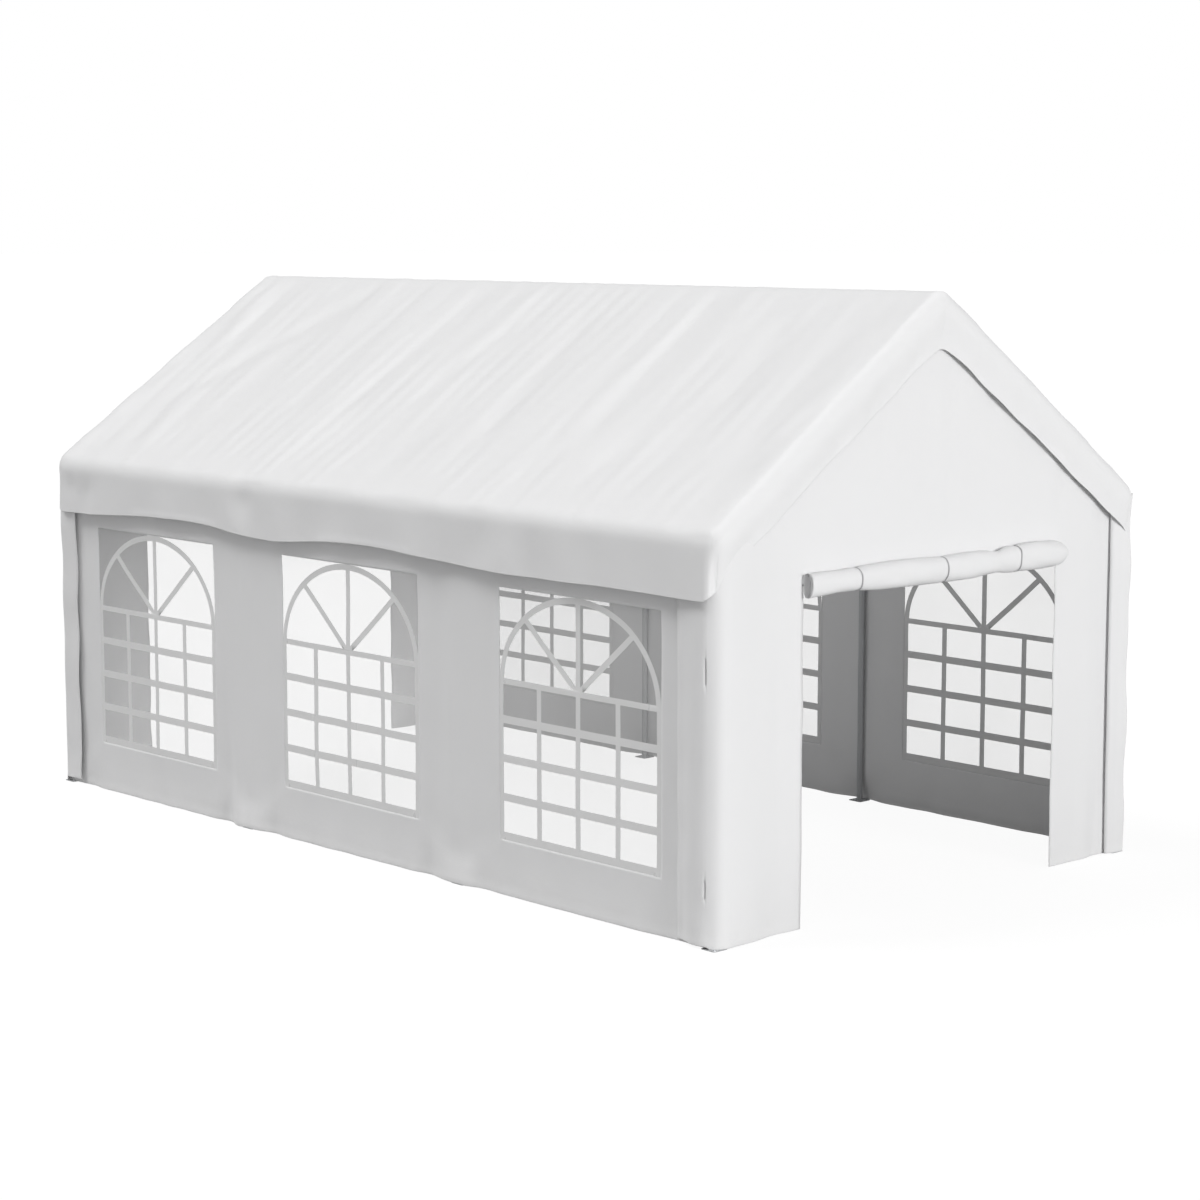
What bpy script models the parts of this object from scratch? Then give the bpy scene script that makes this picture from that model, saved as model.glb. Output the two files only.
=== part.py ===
"""Marquee tent: a tubular steel frame of three bays under a fabric roof, with fabric walls,
clear windows along both sides and a doorway with a rolled-up door in each gable.

Metres, +Z up. X runs across the tent and Y along it, with the front gable at -Y.
The origin is on the ground, under the middle of the ridge.
"""
import bmesh
import bpy
from math import atan2, cos, pi, sin, tan
from mathutils import Matrix, Vector

# The frame, measured between the centre lines of its tubes
SPAN = 3.34
BAY = 2.0
BAYS = 3
EAVE_HEIGHT = 2.145
ROOF_RISE = 1.161
TUBE_RADIUS = 0.019
TUBE_SIDES = 16
JOINT_REACH = 0.12
JOINT_BEND = 0.0567
BEND_STEPS = 6
PLATE_SIZE = 0.10
PLATE_THICKNESS = 0.004

# Fabric, modelled thicker than the real cloth, and the space left between touching pieces
SHEET = 0.004
GAP = 0.0003

# The roof cover
EAVE_OVERHANG = 0.048
GABLE_OVERHANG = 0.044
COVER_BEND = 0.08
RAKE_BEND = 0.04
GABLE_FLAP_DROP = 0.28
VALANCE_BOTTOM = 1.812
VALANCE_RISE = (0.006, 0.045, 0.042)
VALANCE_END_BOTTOM = 1.858
VALANCE_STEPS = 8

# The walls, and the strips that wrap round the corner posts
WALL_TOP = 2.13
WALL_BEND = 0.023
WALL_END = 0.005
FRONT_FLAP = 0.245
BACK_FLAP = 0.15
SIDE_STRIP = 0.115
FLAP_TOP = 2.10
FRONT_FLAP_BOTTOM = 0.016
BACK_FLAP_BOTTOM = 0.034
GABLE_WALL_DROP = 0.006

# Windows and doorways
WINDOW_WIDTH = 1.277
WINDOW_TOP = 1.725
WINDOW_BOTTOM = 0.315
WINDOW_PITCH = 1.985
PANE = 0.002
DOOR_WIDTH = 2.096
DOOR_TOP = 1.846

# A rolled-up door: flat against the wall and rounded outside it. The tent's own left end is blunt
# and its right end runs out thin
ROLL_RADIUS = 0.077
ROLL_DEPTH = 0.09
ROLL_BACK = 0.034
ROLL_HEIGHT = 1.836
ROLL_LEFT = -1.065
ROLL_RIGHT = 1.10
ROLL_TIES = (-0.68, 0.01, 0.64)
ROLL_STEPS = 26
TIE_PINCH = 0.13
TIE_SPREAD = 0.09
ROLL_TAPER = 0.22

# Worked out from the sizes above
HALF_SPAN = SPAN / 2
HALF_LENGTH = BAY * BAYS / 2
FRAME_Y = [-HALF_LENGTH + BAY * i for i in range(BAYS + 1)]
SLOPE = atan2(ROOF_RISE, HALF_SPAN)
RIDGE_HEIGHT = EAVE_HEIGHT + ROOF_RISE
INNER_LAYER = TUBE_RADIUS + GAP + SHEET / 2
OUTER_LAYER = INNER_LAYER + SHEET + GAP
COVER_HALF_WIDTH = HALF_SPAN + EAVE_OVERHANG
COVER_HALF_LENGTH = HALF_LENGTH + GABLE_OVERHANG
COVER_RIDGE = RIDGE_HEIGHT + (TUBE_RADIUS + GAP + SHEET) / cos(SLOPE)
RIDGE_RAIL_HEIGHT = RIDGE_HEIGHT - JOINT_BEND * (1 / cos(SLOPE) - 1)
WALL_BOTTOM = PLATE_THICKNESS + GAP


def clear_scene():
    """Remove whatever the file holds."""
    for obj in list(bpy.data.objects):
        bpy.data.objects.remove(obj, do_unlink=True)


def collection(name):
    """A new collection in the scene."""
    group = bpy.data.collections.new(name)
    bpy.context.scene.collection.children.link(group)
    return group


def material(name, colour, roughness, metallic=0.0):
    """A plain surface with one colour."""
    made = bpy.data.materials.new(name)
    made.use_nodes = True
    shader = made.node_tree.nodes["Principled BSDF"]
    shader.inputs["Base Color"].default_value = (*colour, 1.0)
    shader.inputs["Roughness"].default_value = roughness
    shader.inputs["Metallic"].default_value = metallic
    return made


def add_part(name, mesh, made_of, place=None):
    """Put a mesh into the tent as one named piece."""
    obj = bpy.data.objects.new(name, mesh)
    mesh.materials.clear()
    mesh.materials.append(made_of)
    TENT.objects.link(obj)
    if place is not None:
        obj.matrix_world = place
    return obj


def add_cutter(name, mesh):
    """Put a mesh among the shapes that only cut or join others."""
    obj = bpy.data.objects.new(name, mesh)
    CUTTERS.objects.link(obj)
    obj.hide_render = True
    obj.display_type = "WIRE"
    return obj


def combine(obj, other, operation):
    """Cut another object out of this one, or join it on."""
    step = obj.modifiers.new(operation.title(), "BOOLEAN")
    step.operation = operation
    step.solver = "EXACT"
    step.object = other


def rounded(corners, radii, steps):
    """Points of an open line through the corners, each inner corner turned with its radius."""
    points = [Vector(corners[0])]
    for before, corner, after, radius in zip(corners, corners[1:], corners[2:], radii):
        corner = Vector(corner)
        one = (Vector(before) - corner).normalized()
        two = (Vector(after) - corner).normalized()
        half = one.angle(two) / 2
        centre = corner + (one + two).normalized() * (radius / sin(half))
        start = corner + one * (radius / tan(half)) - centre
        end = corner + two * (radius / tan(half)) - centre
        for i in range(steps + 1):
            points.append(centre + start.slerp(end, i / steps).normalized() * radius)
    points.append(Vector(corners[-1]))
    return points


def mesh_of(curve_object):
    """The welded mesh of a curve object, which is then removed."""
    CUTTERS.objects.link(curve_object)
    depsgraph = bpy.context.evaluated_depsgraph_get()
    mesh = bpy.data.meshes.new_from_object(curve_object.evaluated_get(depsgraph))
    bpy.data.objects.remove(curve_object, do_unlink=True)
    weld(mesh)
    return mesh


def weld(mesh):
    """Close a curve's loose caps, and turn all faces outward."""
    form = bmesh.new()
    form.from_mesh(mesh)
    bmesh.ops.remove_doubles(form, verts=form.verts, dist=0.00005)
    bmesh.ops.dissolve_limit(form, angle_limit=0.0005, verts=form.verts, edges=form.edges)
    bmesh.ops.recalc_face_normals(form, faces=form.faces)
    form.to_mesh(mesh)
    form.free()


def pipe(name, points, radius, sides=TUBE_SIDES, swell=None):
    """A round bar along the points; swell scales its radius at each of them."""
    curve = bpy.data.curves.new(name, "CURVE")
    curve.dimensions = "3D"
    curve.bevel_depth = radius
    curve.bevel_resolution = sides // 2 - 2
    curve.use_fill_caps = True
    spline = curve.splines.new("POLY")
    spline.points.add(len(points) - 1)
    for i, (slot, point) in enumerate(zip(spline.points, points)):
        slot.co = (*point, 1.0)
        slot.radius = swell[i] if swell else 1.0
    return mesh_of(bpy.data.objects.new(name, curve))


ACROSS = Matrix.Rotation(pi / 2, 4, "X")
ALONG = Matrix(((0, 0, 1), (1, 0, 0), (0, 1, 0))).to_4x4()


def prism(name, outline, half_depth, turn):
    """A flat outline given a depth; ACROSS stands it in XZ and ALONG stands it in YZ."""
    curve = bpy.data.curves.new(name, "CURVE")
    curve.dimensions = "2D"
    curve.fill_mode = "BOTH"
    curve.extrude = half_depth
    spline = curve.splines.new("POLY")
    spline.use_cyclic_u = True
    spline.points.add(len(outline) - 1)
    for slot, (u, v) in zip(spline.points, outline):
        slot.co = (u, v, 0.0, 1.0)
    mesh = mesh_of(bpy.data.objects.new(name, curve))
    mesh.transform(turn)
    return mesh


def box(low, high):
    """A block between two corners."""
    low, high = Vector(low), Vector(high)
    form = bmesh.new()
    bmesh.ops.create_cube(form, size=1.0)
    bmesh.ops.scale(form, vec=high - low, verts=form.verts)
    bmesh.ops.translate(form, vec=(low + high) / 2, verts=form.verts)
    mesh = bpy.data.meshes.new("block")
    form.to_mesh(mesh)
    form.free()
    return mesh


def bar(radius, length):
    """A round bar along Z, from 0 up to its length."""
    form = bmesh.new()
    bmesh.ops.create_cone(form, cap_ends=True, segments=TUBE_SIDES, radius1=radius,
                          radius2=radius, depth=length)
    bmesh.ops.translate(form, vec=(0, 0, length / 2), verts=form.verts)
    mesh = bpy.data.meshes.new("bar")
    form.to_mesh(mesh)
    form.free()
    for face in mesh.polygons:
        face.use_smooth = len(face.vertices) == 4
    return mesh


def rafter_line(x):
    """Height of the rafters' centre line."""
    return RIDGE_HEIGHT - abs(x) * tan(SLOPE)


# The frame


def build_legs(steel):
    """Eight upright tubes, each standing on a welded foot plate."""
    leg = bar(TUBE_RADIUS, EAVE_HEIGHT - JOINT_REACH - GAP)
    half = PLATE_SIZE / 2
    plate = box((-half, -half, 0), (half, half, PLATE_THICKNESS))
    for side, x in (("left", -HALF_SPAN), ("right", HALF_SPAN)):
        for number, y in enumerate(FRAME_Y, 1):
            post = add_part(f"leg_{side}_{number}", leg.copy(), steel, Matrix.Translation((x, y, 0)))
            foot = add_cutter(f"foot_{side}_{number}", plate)
            foot.location = (x, y, 0)
            combine(post, foot, "UNION")


def side_stubs(y):
    """How far a joint reaches to the front and to the back: an end joint reaches one way only."""
    front = 0 if y == FRAME_Y[0] else JOINT_REACH
    back = 0 if y == FRAME_Y[-1] else JOINT_REACH
    return y - front, y + back


def build_joint(name, corners, rail_at, y, steel):
    """A bent tube in the plane of a frame with a straight socket for the rails along the tent."""
    bend = rounded(corners, [JOINT_BEND], BEND_STEPS)
    joint = add_part(name, pipe(name, bend, TUBE_RADIUS), steel, Matrix.Translation((0, y, 0)))
    start, end = side_stubs(y)
    socket = add_cutter(f"{name}_socket", bar(TUBE_RADIUS, end - start))
    socket.matrix_world = Matrix.Translation((rail_at[0], end, rail_at[1])) @ ACROSS
    combine(joint, socket, "UNION")


def build_joints(steel):
    """A joint at each eave corner and at each peak."""
    reach = Vector((cos(SLOPE), 0, sin(SLOPE))) * JOINT_REACH
    peak = Vector((0, 0, RIDGE_HEIGHT))
    for number, y in enumerate(FRAME_Y, 1):
        for side, sign in (("left", -1), ("right", 1)):
            eave = Vector((sign * HALF_SPAN, 0, EAVE_HEIGHT))
            uphill = eave + Vector((-sign * reach.x, 0, reach.z))
            downward = eave - Vector((0, 0, JOINT_REACH))
            build_joint(f"eave_joint_{side}_{number}", (downward, eave, uphill),
                        (eave.x, eave.z), y, steel)
        left, right = peak - reach, peak + Vector((reach.x, 0, -reach.z))
        build_joint(f"ridge_joint_{number}", (left, peak, right), (0, RIDGE_RAIL_HEIGHT), y, steel)


def build_rafters(steel):
    """Two sloping tubes for each frame, between its eave joints and its ridge joint."""
    whole = HALF_SPAN / cos(SLOPE)
    rafter = bar(TUBE_RADIUS, whole - 2 * (JOINT_REACH + GAP))
    for side, sign in (("left", -1), ("right", 1)):
        lean = Matrix.Rotation(-sign * (pi / 2 - SLOPE), 4, "Y")
        start = Matrix.Translation((0, 0, JOINT_REACH + GAP))
        for number, y in enumerate(FRAME_Y, 1):
            foot = Matrix.Translation((sign * HALF_SPAN, y, EAVE_HEIGHT))
            add_part(f"rafter_{side}_{number}", rafter.copy(), steel, foot @ lean @ start)


def build_rails(steel):
    """Straight tubes along the tent, one for each bay at both eaves and at the ridge."""
    rail = bar(TUBE_RADIUS, BAY - 2 * (JOINT_REACH + GAP))
    lines = (("eave_rail_left", -HALF_SPAN, EAVE_HEIGHT), ("eave_rail_right", HALF_SPAN, EAVE_HEIGHT),
             ("ridge_rail", 0, RIDGE_RAIL_HEIGHT))
    for name, x, z in lines:
        for number, y in enumerate(FRAME_Y[1:], 1):
            end = Matrix.Translation((x, y - JOINT_REACH - GAP, z))
            add_part(f"{name}_{number}", rail.copy(), steel, end @ ACROSS)


# The roof cover


def house(name, inset):
    """The roof's rounded outer form, made smaller all round by the inset and run down past its hem."""
    side = COVER_HALF_WIDTH - inset
    ridge = COVER_RIDGE - inset / cos(SLOPE)
    eave = ridge - side * tan(SLOPE)
    floor = VALANCE_BOTTOM - 0.2
    bend = COVER_BEND - inset
    line = rounded(((-side, floor), (-side, eave), (0, ridge), (side, eave), (side, floor)),
                   [bend] * 3, BEND_STEPS)
    mesh = prism(name, line, COVER_HALF_LENGTH - inset, ACROSS)
    return soften(mesh, RAKE_BEND - inset)


def soften(mesh, radius):
    """Round the square edges of a mesh."""
    form = bmesh.new()
    form.from_mesh(mesh)
    square = [edge for edge in form.edges if edge.calc_face_angle() > pi / 3]
    bmesh.ops.bevel(form, geom=square, offset=radius, offset_type="OFFSET", segments=4, profile=0.5,
                    affect="EDGES", clamp_overlap=False)
    form.to_mesh(mesh)
    form.free()
    return mesh


def valance_edge(y):
    """Height of the side hem: it hangs low at the legs and rides up between them."""
    if abs(y) >= HALF_LENGTH:
        return VALANCE_END_BOTTOM
    bay = min(int((y + HALF_LENGTH) / BAY), BAYS - 1)
    share = (y + HALF_LENGTH) / BAY - bay
    return VALANCE_BOTTOM + VALANCE_RISE[bay] * sin(pi * share) ** 1.5


def build_roof_cover(cloth):
    """One sheet over both slopes, with a hem down each side and a flap over each gable."""
    cover = add_part("roof_cover", house("roof_cover", 0), cloth)
    combine(cover, add_cutter("roof_inside", house("roof_inside", SHEET)), "DIFFERENCE")

    count = VALANCE_STEPS * BAYS
    inner = [-HALF_LENGTH + (0.03 if i == 0 else -0.03 if i == count else 0) + i * BAY / VALANCE_STEPS
             for i in range(count + 1)]
    beyond = HALF_LENGTH + 0.2
    stations = [-beyond, -HALF_LENGTH, *inner, HALF_LENGTH, beyond]
    hem = [(y, valance_edge(y)) for y in stations] + [(beyond, 1.0), (-beyond, 1.0)]
    combine(cover, add_cutter("below_hem", prism("below_hem", hem, SPAN, ALONG)), "DIFFERENCE")

    flap_peak = COVER_RIDGE - GABLE_FLAP_DROP
    flap_end = flap_peak - SPAN * tan(SLOPE)
    under = ((-SPAN, 0), (-SPAN, flap_end), (0, flap_peak), (SPAN, flap_end), (SPAN, 0))
    for name, y in (("front", -1), ("back", 1)):
        mesh = prism(f"below_{name}_flap", under, 0.1, ACROSS)
        mesh.transform(Matrix.Translation((0, y * (HALF_LENGTH + 0.1), 0)))
        combine(cover, add_cutter(f"below_{name}_flap", mesh), "DIFFERENCE")


# The walls


def wall(name, plan, top, cloth):
    """An upright sheet along a plan line, whose inner corners are rounded."""
    path = rounded(plan, [WALL_BEND] * (len(plan) - 2), BEND_STEPS)
    form = bmesh.new()
    feet = [form.verts.new((p.x, p.y, WALL_BOTTOM)) for p in path]
    edges = [form.edges.new(pair) for pair in zip(feet, feet[1:])]
    raised = bmesh.ops.extrude_edge_only(form, edges=edges)["geom"]
    heads = [item for item in raised if isinstance(item, bmesh.types.BMVert)]
    bmesh.ops.translate(form, vec=(0, 0, top - WALL_BOTTOM), verts=heads)
    mesh = bpy.data.meshes.new(name)
    form.to_mesh(mesh)
    form.free()
    sheet = add_part(name, mesh, cloth)
    thick = sheet.modifiers.new("Thickness", "SOLIDIFY")
    thick.thickness = SHEET
    thick.offset = 0.0
    thick.use_even_offset = True
    return sheet


def window_centres():
    """Places of the windows along the tent."""
    return [WINDOW_PITCH * (i - (BAYS - 1) / 2) for i in range(BAYS)]


def build_side_walls(cloth, clear):
    """The two long walls with their windows; the right one wraps round both of its corners."""
    left_x, right_x = -HALF_SPAN - INNER_LAYER, HALF_SPAN + INNER_LAYER
    end, outer = HALF_LENGTH - WALL_END, HALF_LENGTH + OUTER_LAYER
    strip = HALF_SPAN - SIDE_STRIP
    plans = {"left": ((left_x, -end), (left_x, end)),
             "right": ((strip, -outer), (right_x, -outer), (right_x, outer), (strip, outer))}
    half = WINDOW_WIDTH / 2
    for side, x in (("left", left_x), ("right", right_x)):
        sheet = wall(f"{side}_wall", [Vector(point) for point in plans[side]], WALL_TOP, cloth)
        for number, y in enumerate(window_centres(), 1):
            hole = box((x - 0.05, y - half, WINDOW_BOTTOM), (x + 0.05, y + half, WINDOW_TOP))
            combine(sheet, add_cutter(f"{side}_window_hole_{number}", hole), "DIFFERENCE")
            pane = box((x - PANE / 2, y - half + GAP, WINDOW_BOTTOM + GAP),
                       (x + PANE / 2, y + half - GAP, WINDOW_TOP - GAP))
            add_part(f"{side}_window_{number}", pane, clear)


def build_gable_walls(cloth):
    """The two gable walls: each has a doorway, and wraps over the end of the left wall."""
    edge = HALF_SPAN + INNER_LAYER - 0.006
    beyond = SPAN
    above = ((-beyond, 4.0), (-beyond, FLAP_TOP), (-edge, FLAP_TOP),
             (-edge, rafter_line(edge) - GABLE_WALL_DROP), (0, RIDGE_HEIGHT - GABLE_WALL_DROP),
             (beyond, rafter_line(beyond) - GABLE_WALL_DROP), (beyond, 4.0))
    above_gable = add_cutter("above_gable", prism("above_gable", above, HALF_LENGTH + 0.5, ACROSS))
    for name, sign, flap, flap_bottom in (("front", -1, FRONT_FLAP, FRONT_FLAP_BOTTOM),
                                          ("back", 1, BACK_FLAP, BACK_FLAP_BOTTOM)):
        y = sign * (HALF_LENGTH + INNER_LAYER)
        x = -HALF_SPAN - OUTER_LAYER
        plan = ((HALF_SPAN - WALL_END, y), (x, y), (x, sign * (HALF_LENGTH - flap)))
        sheet = wall(f"{name}_wall", [Vector(point) for point in plan], RIDGE_HEIGHT + 0.1, cloth)
        combine(sheet, above_gable, "DIFFERENCE")
        door = box((-DOOR_WIDTH / 2, y - 0.1, -0.1), (DOOR_WIDTH / 2, y + 0.1, DOOR_TOP))
        combine(sheet, add_cutter(f"{name}_doorway", door), "DIFFERENCE")
        near = sign * (HALF_LENGTH - WALL_END)
        far = sign * (HALF_LENGTH - flap - 0.1)
        raised = box((x - 0.05, min(near, far), -0.1), (x + 0.05, max(near, far), flap_bottom))
        combine(sheet, add_cutter(f"{name}_flap_lift", raised), "DIFFERENCE")


# The rolled-up doors


def roll_radius(x):
    """Radius of a roll: pinched by its ties, and thin where it runs out at the right."""
    pinch = sum(TIE_PINCH * max(0.0, 1 - abs(x - tie) / TIE_SPREAD) for tie in ROLL_TIES)
    taper = min(1.0, 0.35 + 0.65 * (ROLL_RIGHT - x) / ROLL_TAPER)
    return (1 - pinch) * taper


def build_door_rolls(cloth):
    """Each doorway's sheet, rolled up outside the wall and tied above the opening."""
    length = ROLL_RIGHT - ROLL_LEFT
    stations = {ROLL_LEFT + length * i / ROLL_STEPS for i in range(ROLL_STEPS + 1)}
    spots = sorted(stations | set(ROLL_TIES))
    axis = HALF_LENGTH + INNER_LAYER + SHEET / 2 + GAP + ROLL_BACK
    points = [(x, -axis, ROLL_HEIGHT) for x in spots]
    swell = [roll_radius(x) for x in spots]
    mesh = pipe("door_roll", points, ROLL_RADIUS, 16, swell)
    for vert in mesh.vertices:
        out = (-axis - vert.co.y) * (ROLL_DEPTH - ROLL_BACK) / ROLL_RADIUS
        vert.co.y = -axis - max(out, -ROLL_BACK)
    for name, turn in (("front", 0), ("back", pi)):
        add_part(f"{name}_door_roll", mesh.copy(), cloth, Matrix.Rotation(turn, 4, "Z"))


clear_scene()
TENT = collection("marquee_tent")
CUTTERS = collection("cutters")


def main():
    """Build the whole tent."""
    steel = material("painted_steel", (0.72, 0.73, 0.74), 0.45, 0.3)
    roof_cloth = material("roof_cloth", (0.86, 0.86, 0.86), 0.55)
    wall_cloth = material("wall_cloth", (0.82, 0.82, 0.82), 0.55)
    clear = material("clear_film", (0.92, 0.94, 0.95), 0.12)
    build_legs(steel)
    build_joints(steel)
    build_rafters(steel)
    build_rails(steel)
    build_roof_cover(roof_cloth)
    build_side_walls(wall_cloth, clear)
    build_gable_walls(wall_cloth)
    build_door_rolls(wall_cloth)


main()
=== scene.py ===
"""Marquee tent: its fabric, windows, rolled-up doors and steel frame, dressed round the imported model.

Metres, +Z up. X runs across the tent and Y along it, with the front gable at -Y.
"""
import random
from math import atan2, ceil, cos, pi, radians, sin, sqrt, tan

import bmesh
import bpy
import numpy as np
from bpy.props import FloatProperty, FloatVectorProperty, IntProperty, PointerProperty
from bpy.types import Operator, Panel, PropertyGroup
from mathutils import Matrix, Vector


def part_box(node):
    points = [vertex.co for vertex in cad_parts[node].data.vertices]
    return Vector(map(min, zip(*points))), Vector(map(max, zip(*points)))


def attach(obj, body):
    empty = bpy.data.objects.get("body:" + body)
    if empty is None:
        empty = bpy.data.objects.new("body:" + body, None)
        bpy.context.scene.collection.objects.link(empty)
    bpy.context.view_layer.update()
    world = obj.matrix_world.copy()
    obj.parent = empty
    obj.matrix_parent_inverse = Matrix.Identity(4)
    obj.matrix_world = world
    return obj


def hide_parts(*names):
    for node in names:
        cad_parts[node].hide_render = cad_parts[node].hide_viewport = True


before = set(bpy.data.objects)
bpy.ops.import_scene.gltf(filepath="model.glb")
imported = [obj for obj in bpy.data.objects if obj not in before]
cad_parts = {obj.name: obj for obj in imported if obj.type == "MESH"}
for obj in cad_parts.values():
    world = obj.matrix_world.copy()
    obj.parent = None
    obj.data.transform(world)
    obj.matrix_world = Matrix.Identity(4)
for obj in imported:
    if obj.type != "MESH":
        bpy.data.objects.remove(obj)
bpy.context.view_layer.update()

bl_info = {
    "name": "Marquee Tent",
    "version": (1, 0, 0),
    "blender": (4, 5, 0),
    "location": "3D View > Sidebar > Tent",
    "description": "Builds a marquee tent with fabric walls, arched windows and rolled-up doors",
    "category": "Object",
}


# Places read from the frame


def middle(node):
    """Centre of a node's box."""
    low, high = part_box(node)
    return (low + high) / 2


BAYS = 3
SIDES = (("left", -1), ("right", 1))
GABLES = (("front", -1), ("back", 1))
FRAME_Y = [middle(f"leg_left_{i}").y for i in range(1, BAYS + 2)]
HALF_SPAN = middle("leg_right_2").x
HALF_LENGTH = FRAME_Y[-1]
EAVE_HEIGHT = middle("eave_rail_left_1").z
RAIL_LOW, RAIL_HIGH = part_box("ridge_rail_1")
TUBE_RADIUS = (RAIL_HIGH.x - RAIL_LOW.x) / 2
RIDGE_RAIL_HEIGHT = (RAIL_LOW.z + RAIL_HIGH.z) / 2
RAFTER = middle("rafter_right_2")
SLOPE = atan2(RAFTER.z - EAVE_HEIGHT, HALF_SPAN - RAFTER.x)
RIDGE_HEIGHT = EAVE_HEIGHT + HALF_SPAN * tan(SLOPE)
JOINT_REACH = EAVE_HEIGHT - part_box("eave_joint_left_2")[0].z
PLATE_LOW, LEG_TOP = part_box("leg_right_2")
PLATE_SIZE = LEG_TOP.x - PLATE_LOW.x
COVER_LOW, COVER_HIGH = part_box("roof_cover")
LEFT_WALL_LOW, LEFT_WALL_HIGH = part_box("left_wall")
RIGHT_WALL_LOW, RIGHT_WALL_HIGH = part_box("right_wall")
FRONT_WALL_LOW, FRONT_WALL_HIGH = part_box("front_wall")
BACK_WALL_LOW, BACK_WALL_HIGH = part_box("back_wall")
WINDOWS = [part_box(f"left_window_{i}") for i in range(1, BAYS + 1)]
WINDOW_LOW, WINDOW_HIGH = WINDOWS[0]
WINDOW_WIDTH = WINDOW_HIGH.y - WINDOW_LOW.y
WINDOW_HEIGHT = WINDOW_HIGH.z - WINDOW_LOW.z
ROLL_LOW, ROLL_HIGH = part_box("front_door_roll")
ROLL_HEIGHT = (ROLL_HIGH.z + ROLL_LOW.z) / 2

# Sizes that the frame's boxes don't give
RIDGE_BEND = 0.11
EAVE_BEND = 0.135
RAKE_BEND = 0.06
CORNER_BEND = 0.09
COVER_PUFF = 0.035
GABLE_FLAP_DROP = 0.28
FLAP_PEAK_BEND = 0.05
WALL_BEND = 0.023
STRIP_PUFF = 0.030
FLAP_TOP = 2.10
DOOR_HALF_WIDTH = 1.048
DOOR_TOP = 1.846
SLIT_TURN = radians(19)
SLITS = ((0.255, 0.370), (1.370, 1.523))
SIDE_WALL_X = (RIGHT_WALL_HIGH.x * 2 - 0.004) / 2
OUTER_LAYER_Y = RIGHT_WALL_HIGH.y - 0.002
INNER_LAYER_Y = FRONT_WALL_LOW.y + 0.002


# Settings that a user would change


def length(name, description, default, **more):
    """A size in metres."""
    return FloatProperty(name=name, description=description, default=default, min=0.0, precision=4,
                         subtype="DISTANCE", unit="LENGTH", **more)


def colour(name, description, default):
    """A colour in linear light."""
    return FloatVectorProperty(name=name, description=description, default=default, size=3, min=0.0,
                               max=1.0, subtype="COLOR")


def share(name, description, default, **more):
    """A number from 0 to 1."""
    return FloatProperty(name=name, description=description, default=default, min=0.0, max=1.0,
                         subtype="FACTOR", **more)


class TentClothSettings(PropertyGroup):
    """Sizes of the roof cover and the walls."""
    thickness: length("Thickness", "Thickness of the coated cloth", 0.0016)
    spacing: length("Mesh Spacing", "Largest distance between mesh points on a sheet", 0.028)
    roof_sag: length("Roof Sag", "How far the cover hangs between two rafters", 0.009)
    crease_depth: length("Crease Depth", "Height of the storage creases on the roof", 0.0085)
    wall_fold: length("Wall Folds", "Depth of the soft folds beside each leg", 0.011)
    hem_width: length("Hem Width", "Width of the doubled hems", 0.028)
    hem_lift: length("Hem Lift", "How far a doubled hem stands proud", 0.0009)
    hem_low: length("Valance Hem Height", "Height of the roof's side hem at the legs", 1.812)
    hem_rise: length("Valance Hem Rise", "How far the hem rides up between the legs", 0.048)


class TentWindowSettings(PropertyGroup):
    """Sizes of the clear windows and their bars."""
    film: length("Film Thickness", "Thickness of the clear film", 0.0006)
    bar_proud: length("Bar Thickness", "How far the bars stand out from the film's middle", 0.0007)
    arch_height: length("Arch Height", "From the window's top down to the bar under the arch", 0.535)
    arch_width: length("Arch Bar Width", "Width of the arch's bar", 0.035)
    top_bar: length("Top Bar Width", "Width of the bar under the arch", 0.033)
    row_bar: length("Row Bar Width", "Width of the level bars between the rows of panes", 0.044)
    column_bar: length("Column Bar Width", "Width of the upright bars", 0.036)
    spoke: length("Spoke Width", "Width of the slanting bars in the arch", 0.035)
    side_border: length("Side Border", "Width of the border at each side", 0.030)
    bottom_border: length("Bottom Border", "Width of the border at the bottom", 0.045)
    rows: IntProperty(name="Pane Rows", description="Rows of panes under the arch", default=4, min=1)
    columns: IntProperty(name="Pane Columns", description="Panes in each row", default=4, min=2)
    spoke_angle: FloatProperty(name="Spoke Angle", description="Slant of the arch's two spokes",
                               default=radians(40.3), subtype="ANGLE", unit="ROTATION")


class TentRollSettings(PropertyGroup):
    """Sizes of the rolled-up doors."""
    turns: IntProperty(name="Turns", description="Turns of cloth in a roll", default=7, min=2)
    tie_width: length("Tie Width", "Width of the straps round a roll", 0.007)
    tie_pinch: share("Tie Pinch", "How much a strap draws the roll in", 0.09)
    wrinkle: share("Wrinkle", "Depth of the roll's wrinkles, as a share of its size", 0.07)


class TentFrameSettings(PropertyGroup):
    """Sizes of the steel frame's small parts."""
    sides: IntProperty(name="Tube Sides", description="Sides of each round tube", default=28, min=8)
    sleeve_step: length("Sleeve Step", "How far a joint's rolled lip stands out from a tube", 0.0007)
    bolt_radius: length("Bolt Radius", "Radius of a bolt's head", 0.006)
    plate_hole: length("Foot Hole Radius", "Radius of the holes in a foot plate", 0.0045)


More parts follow.
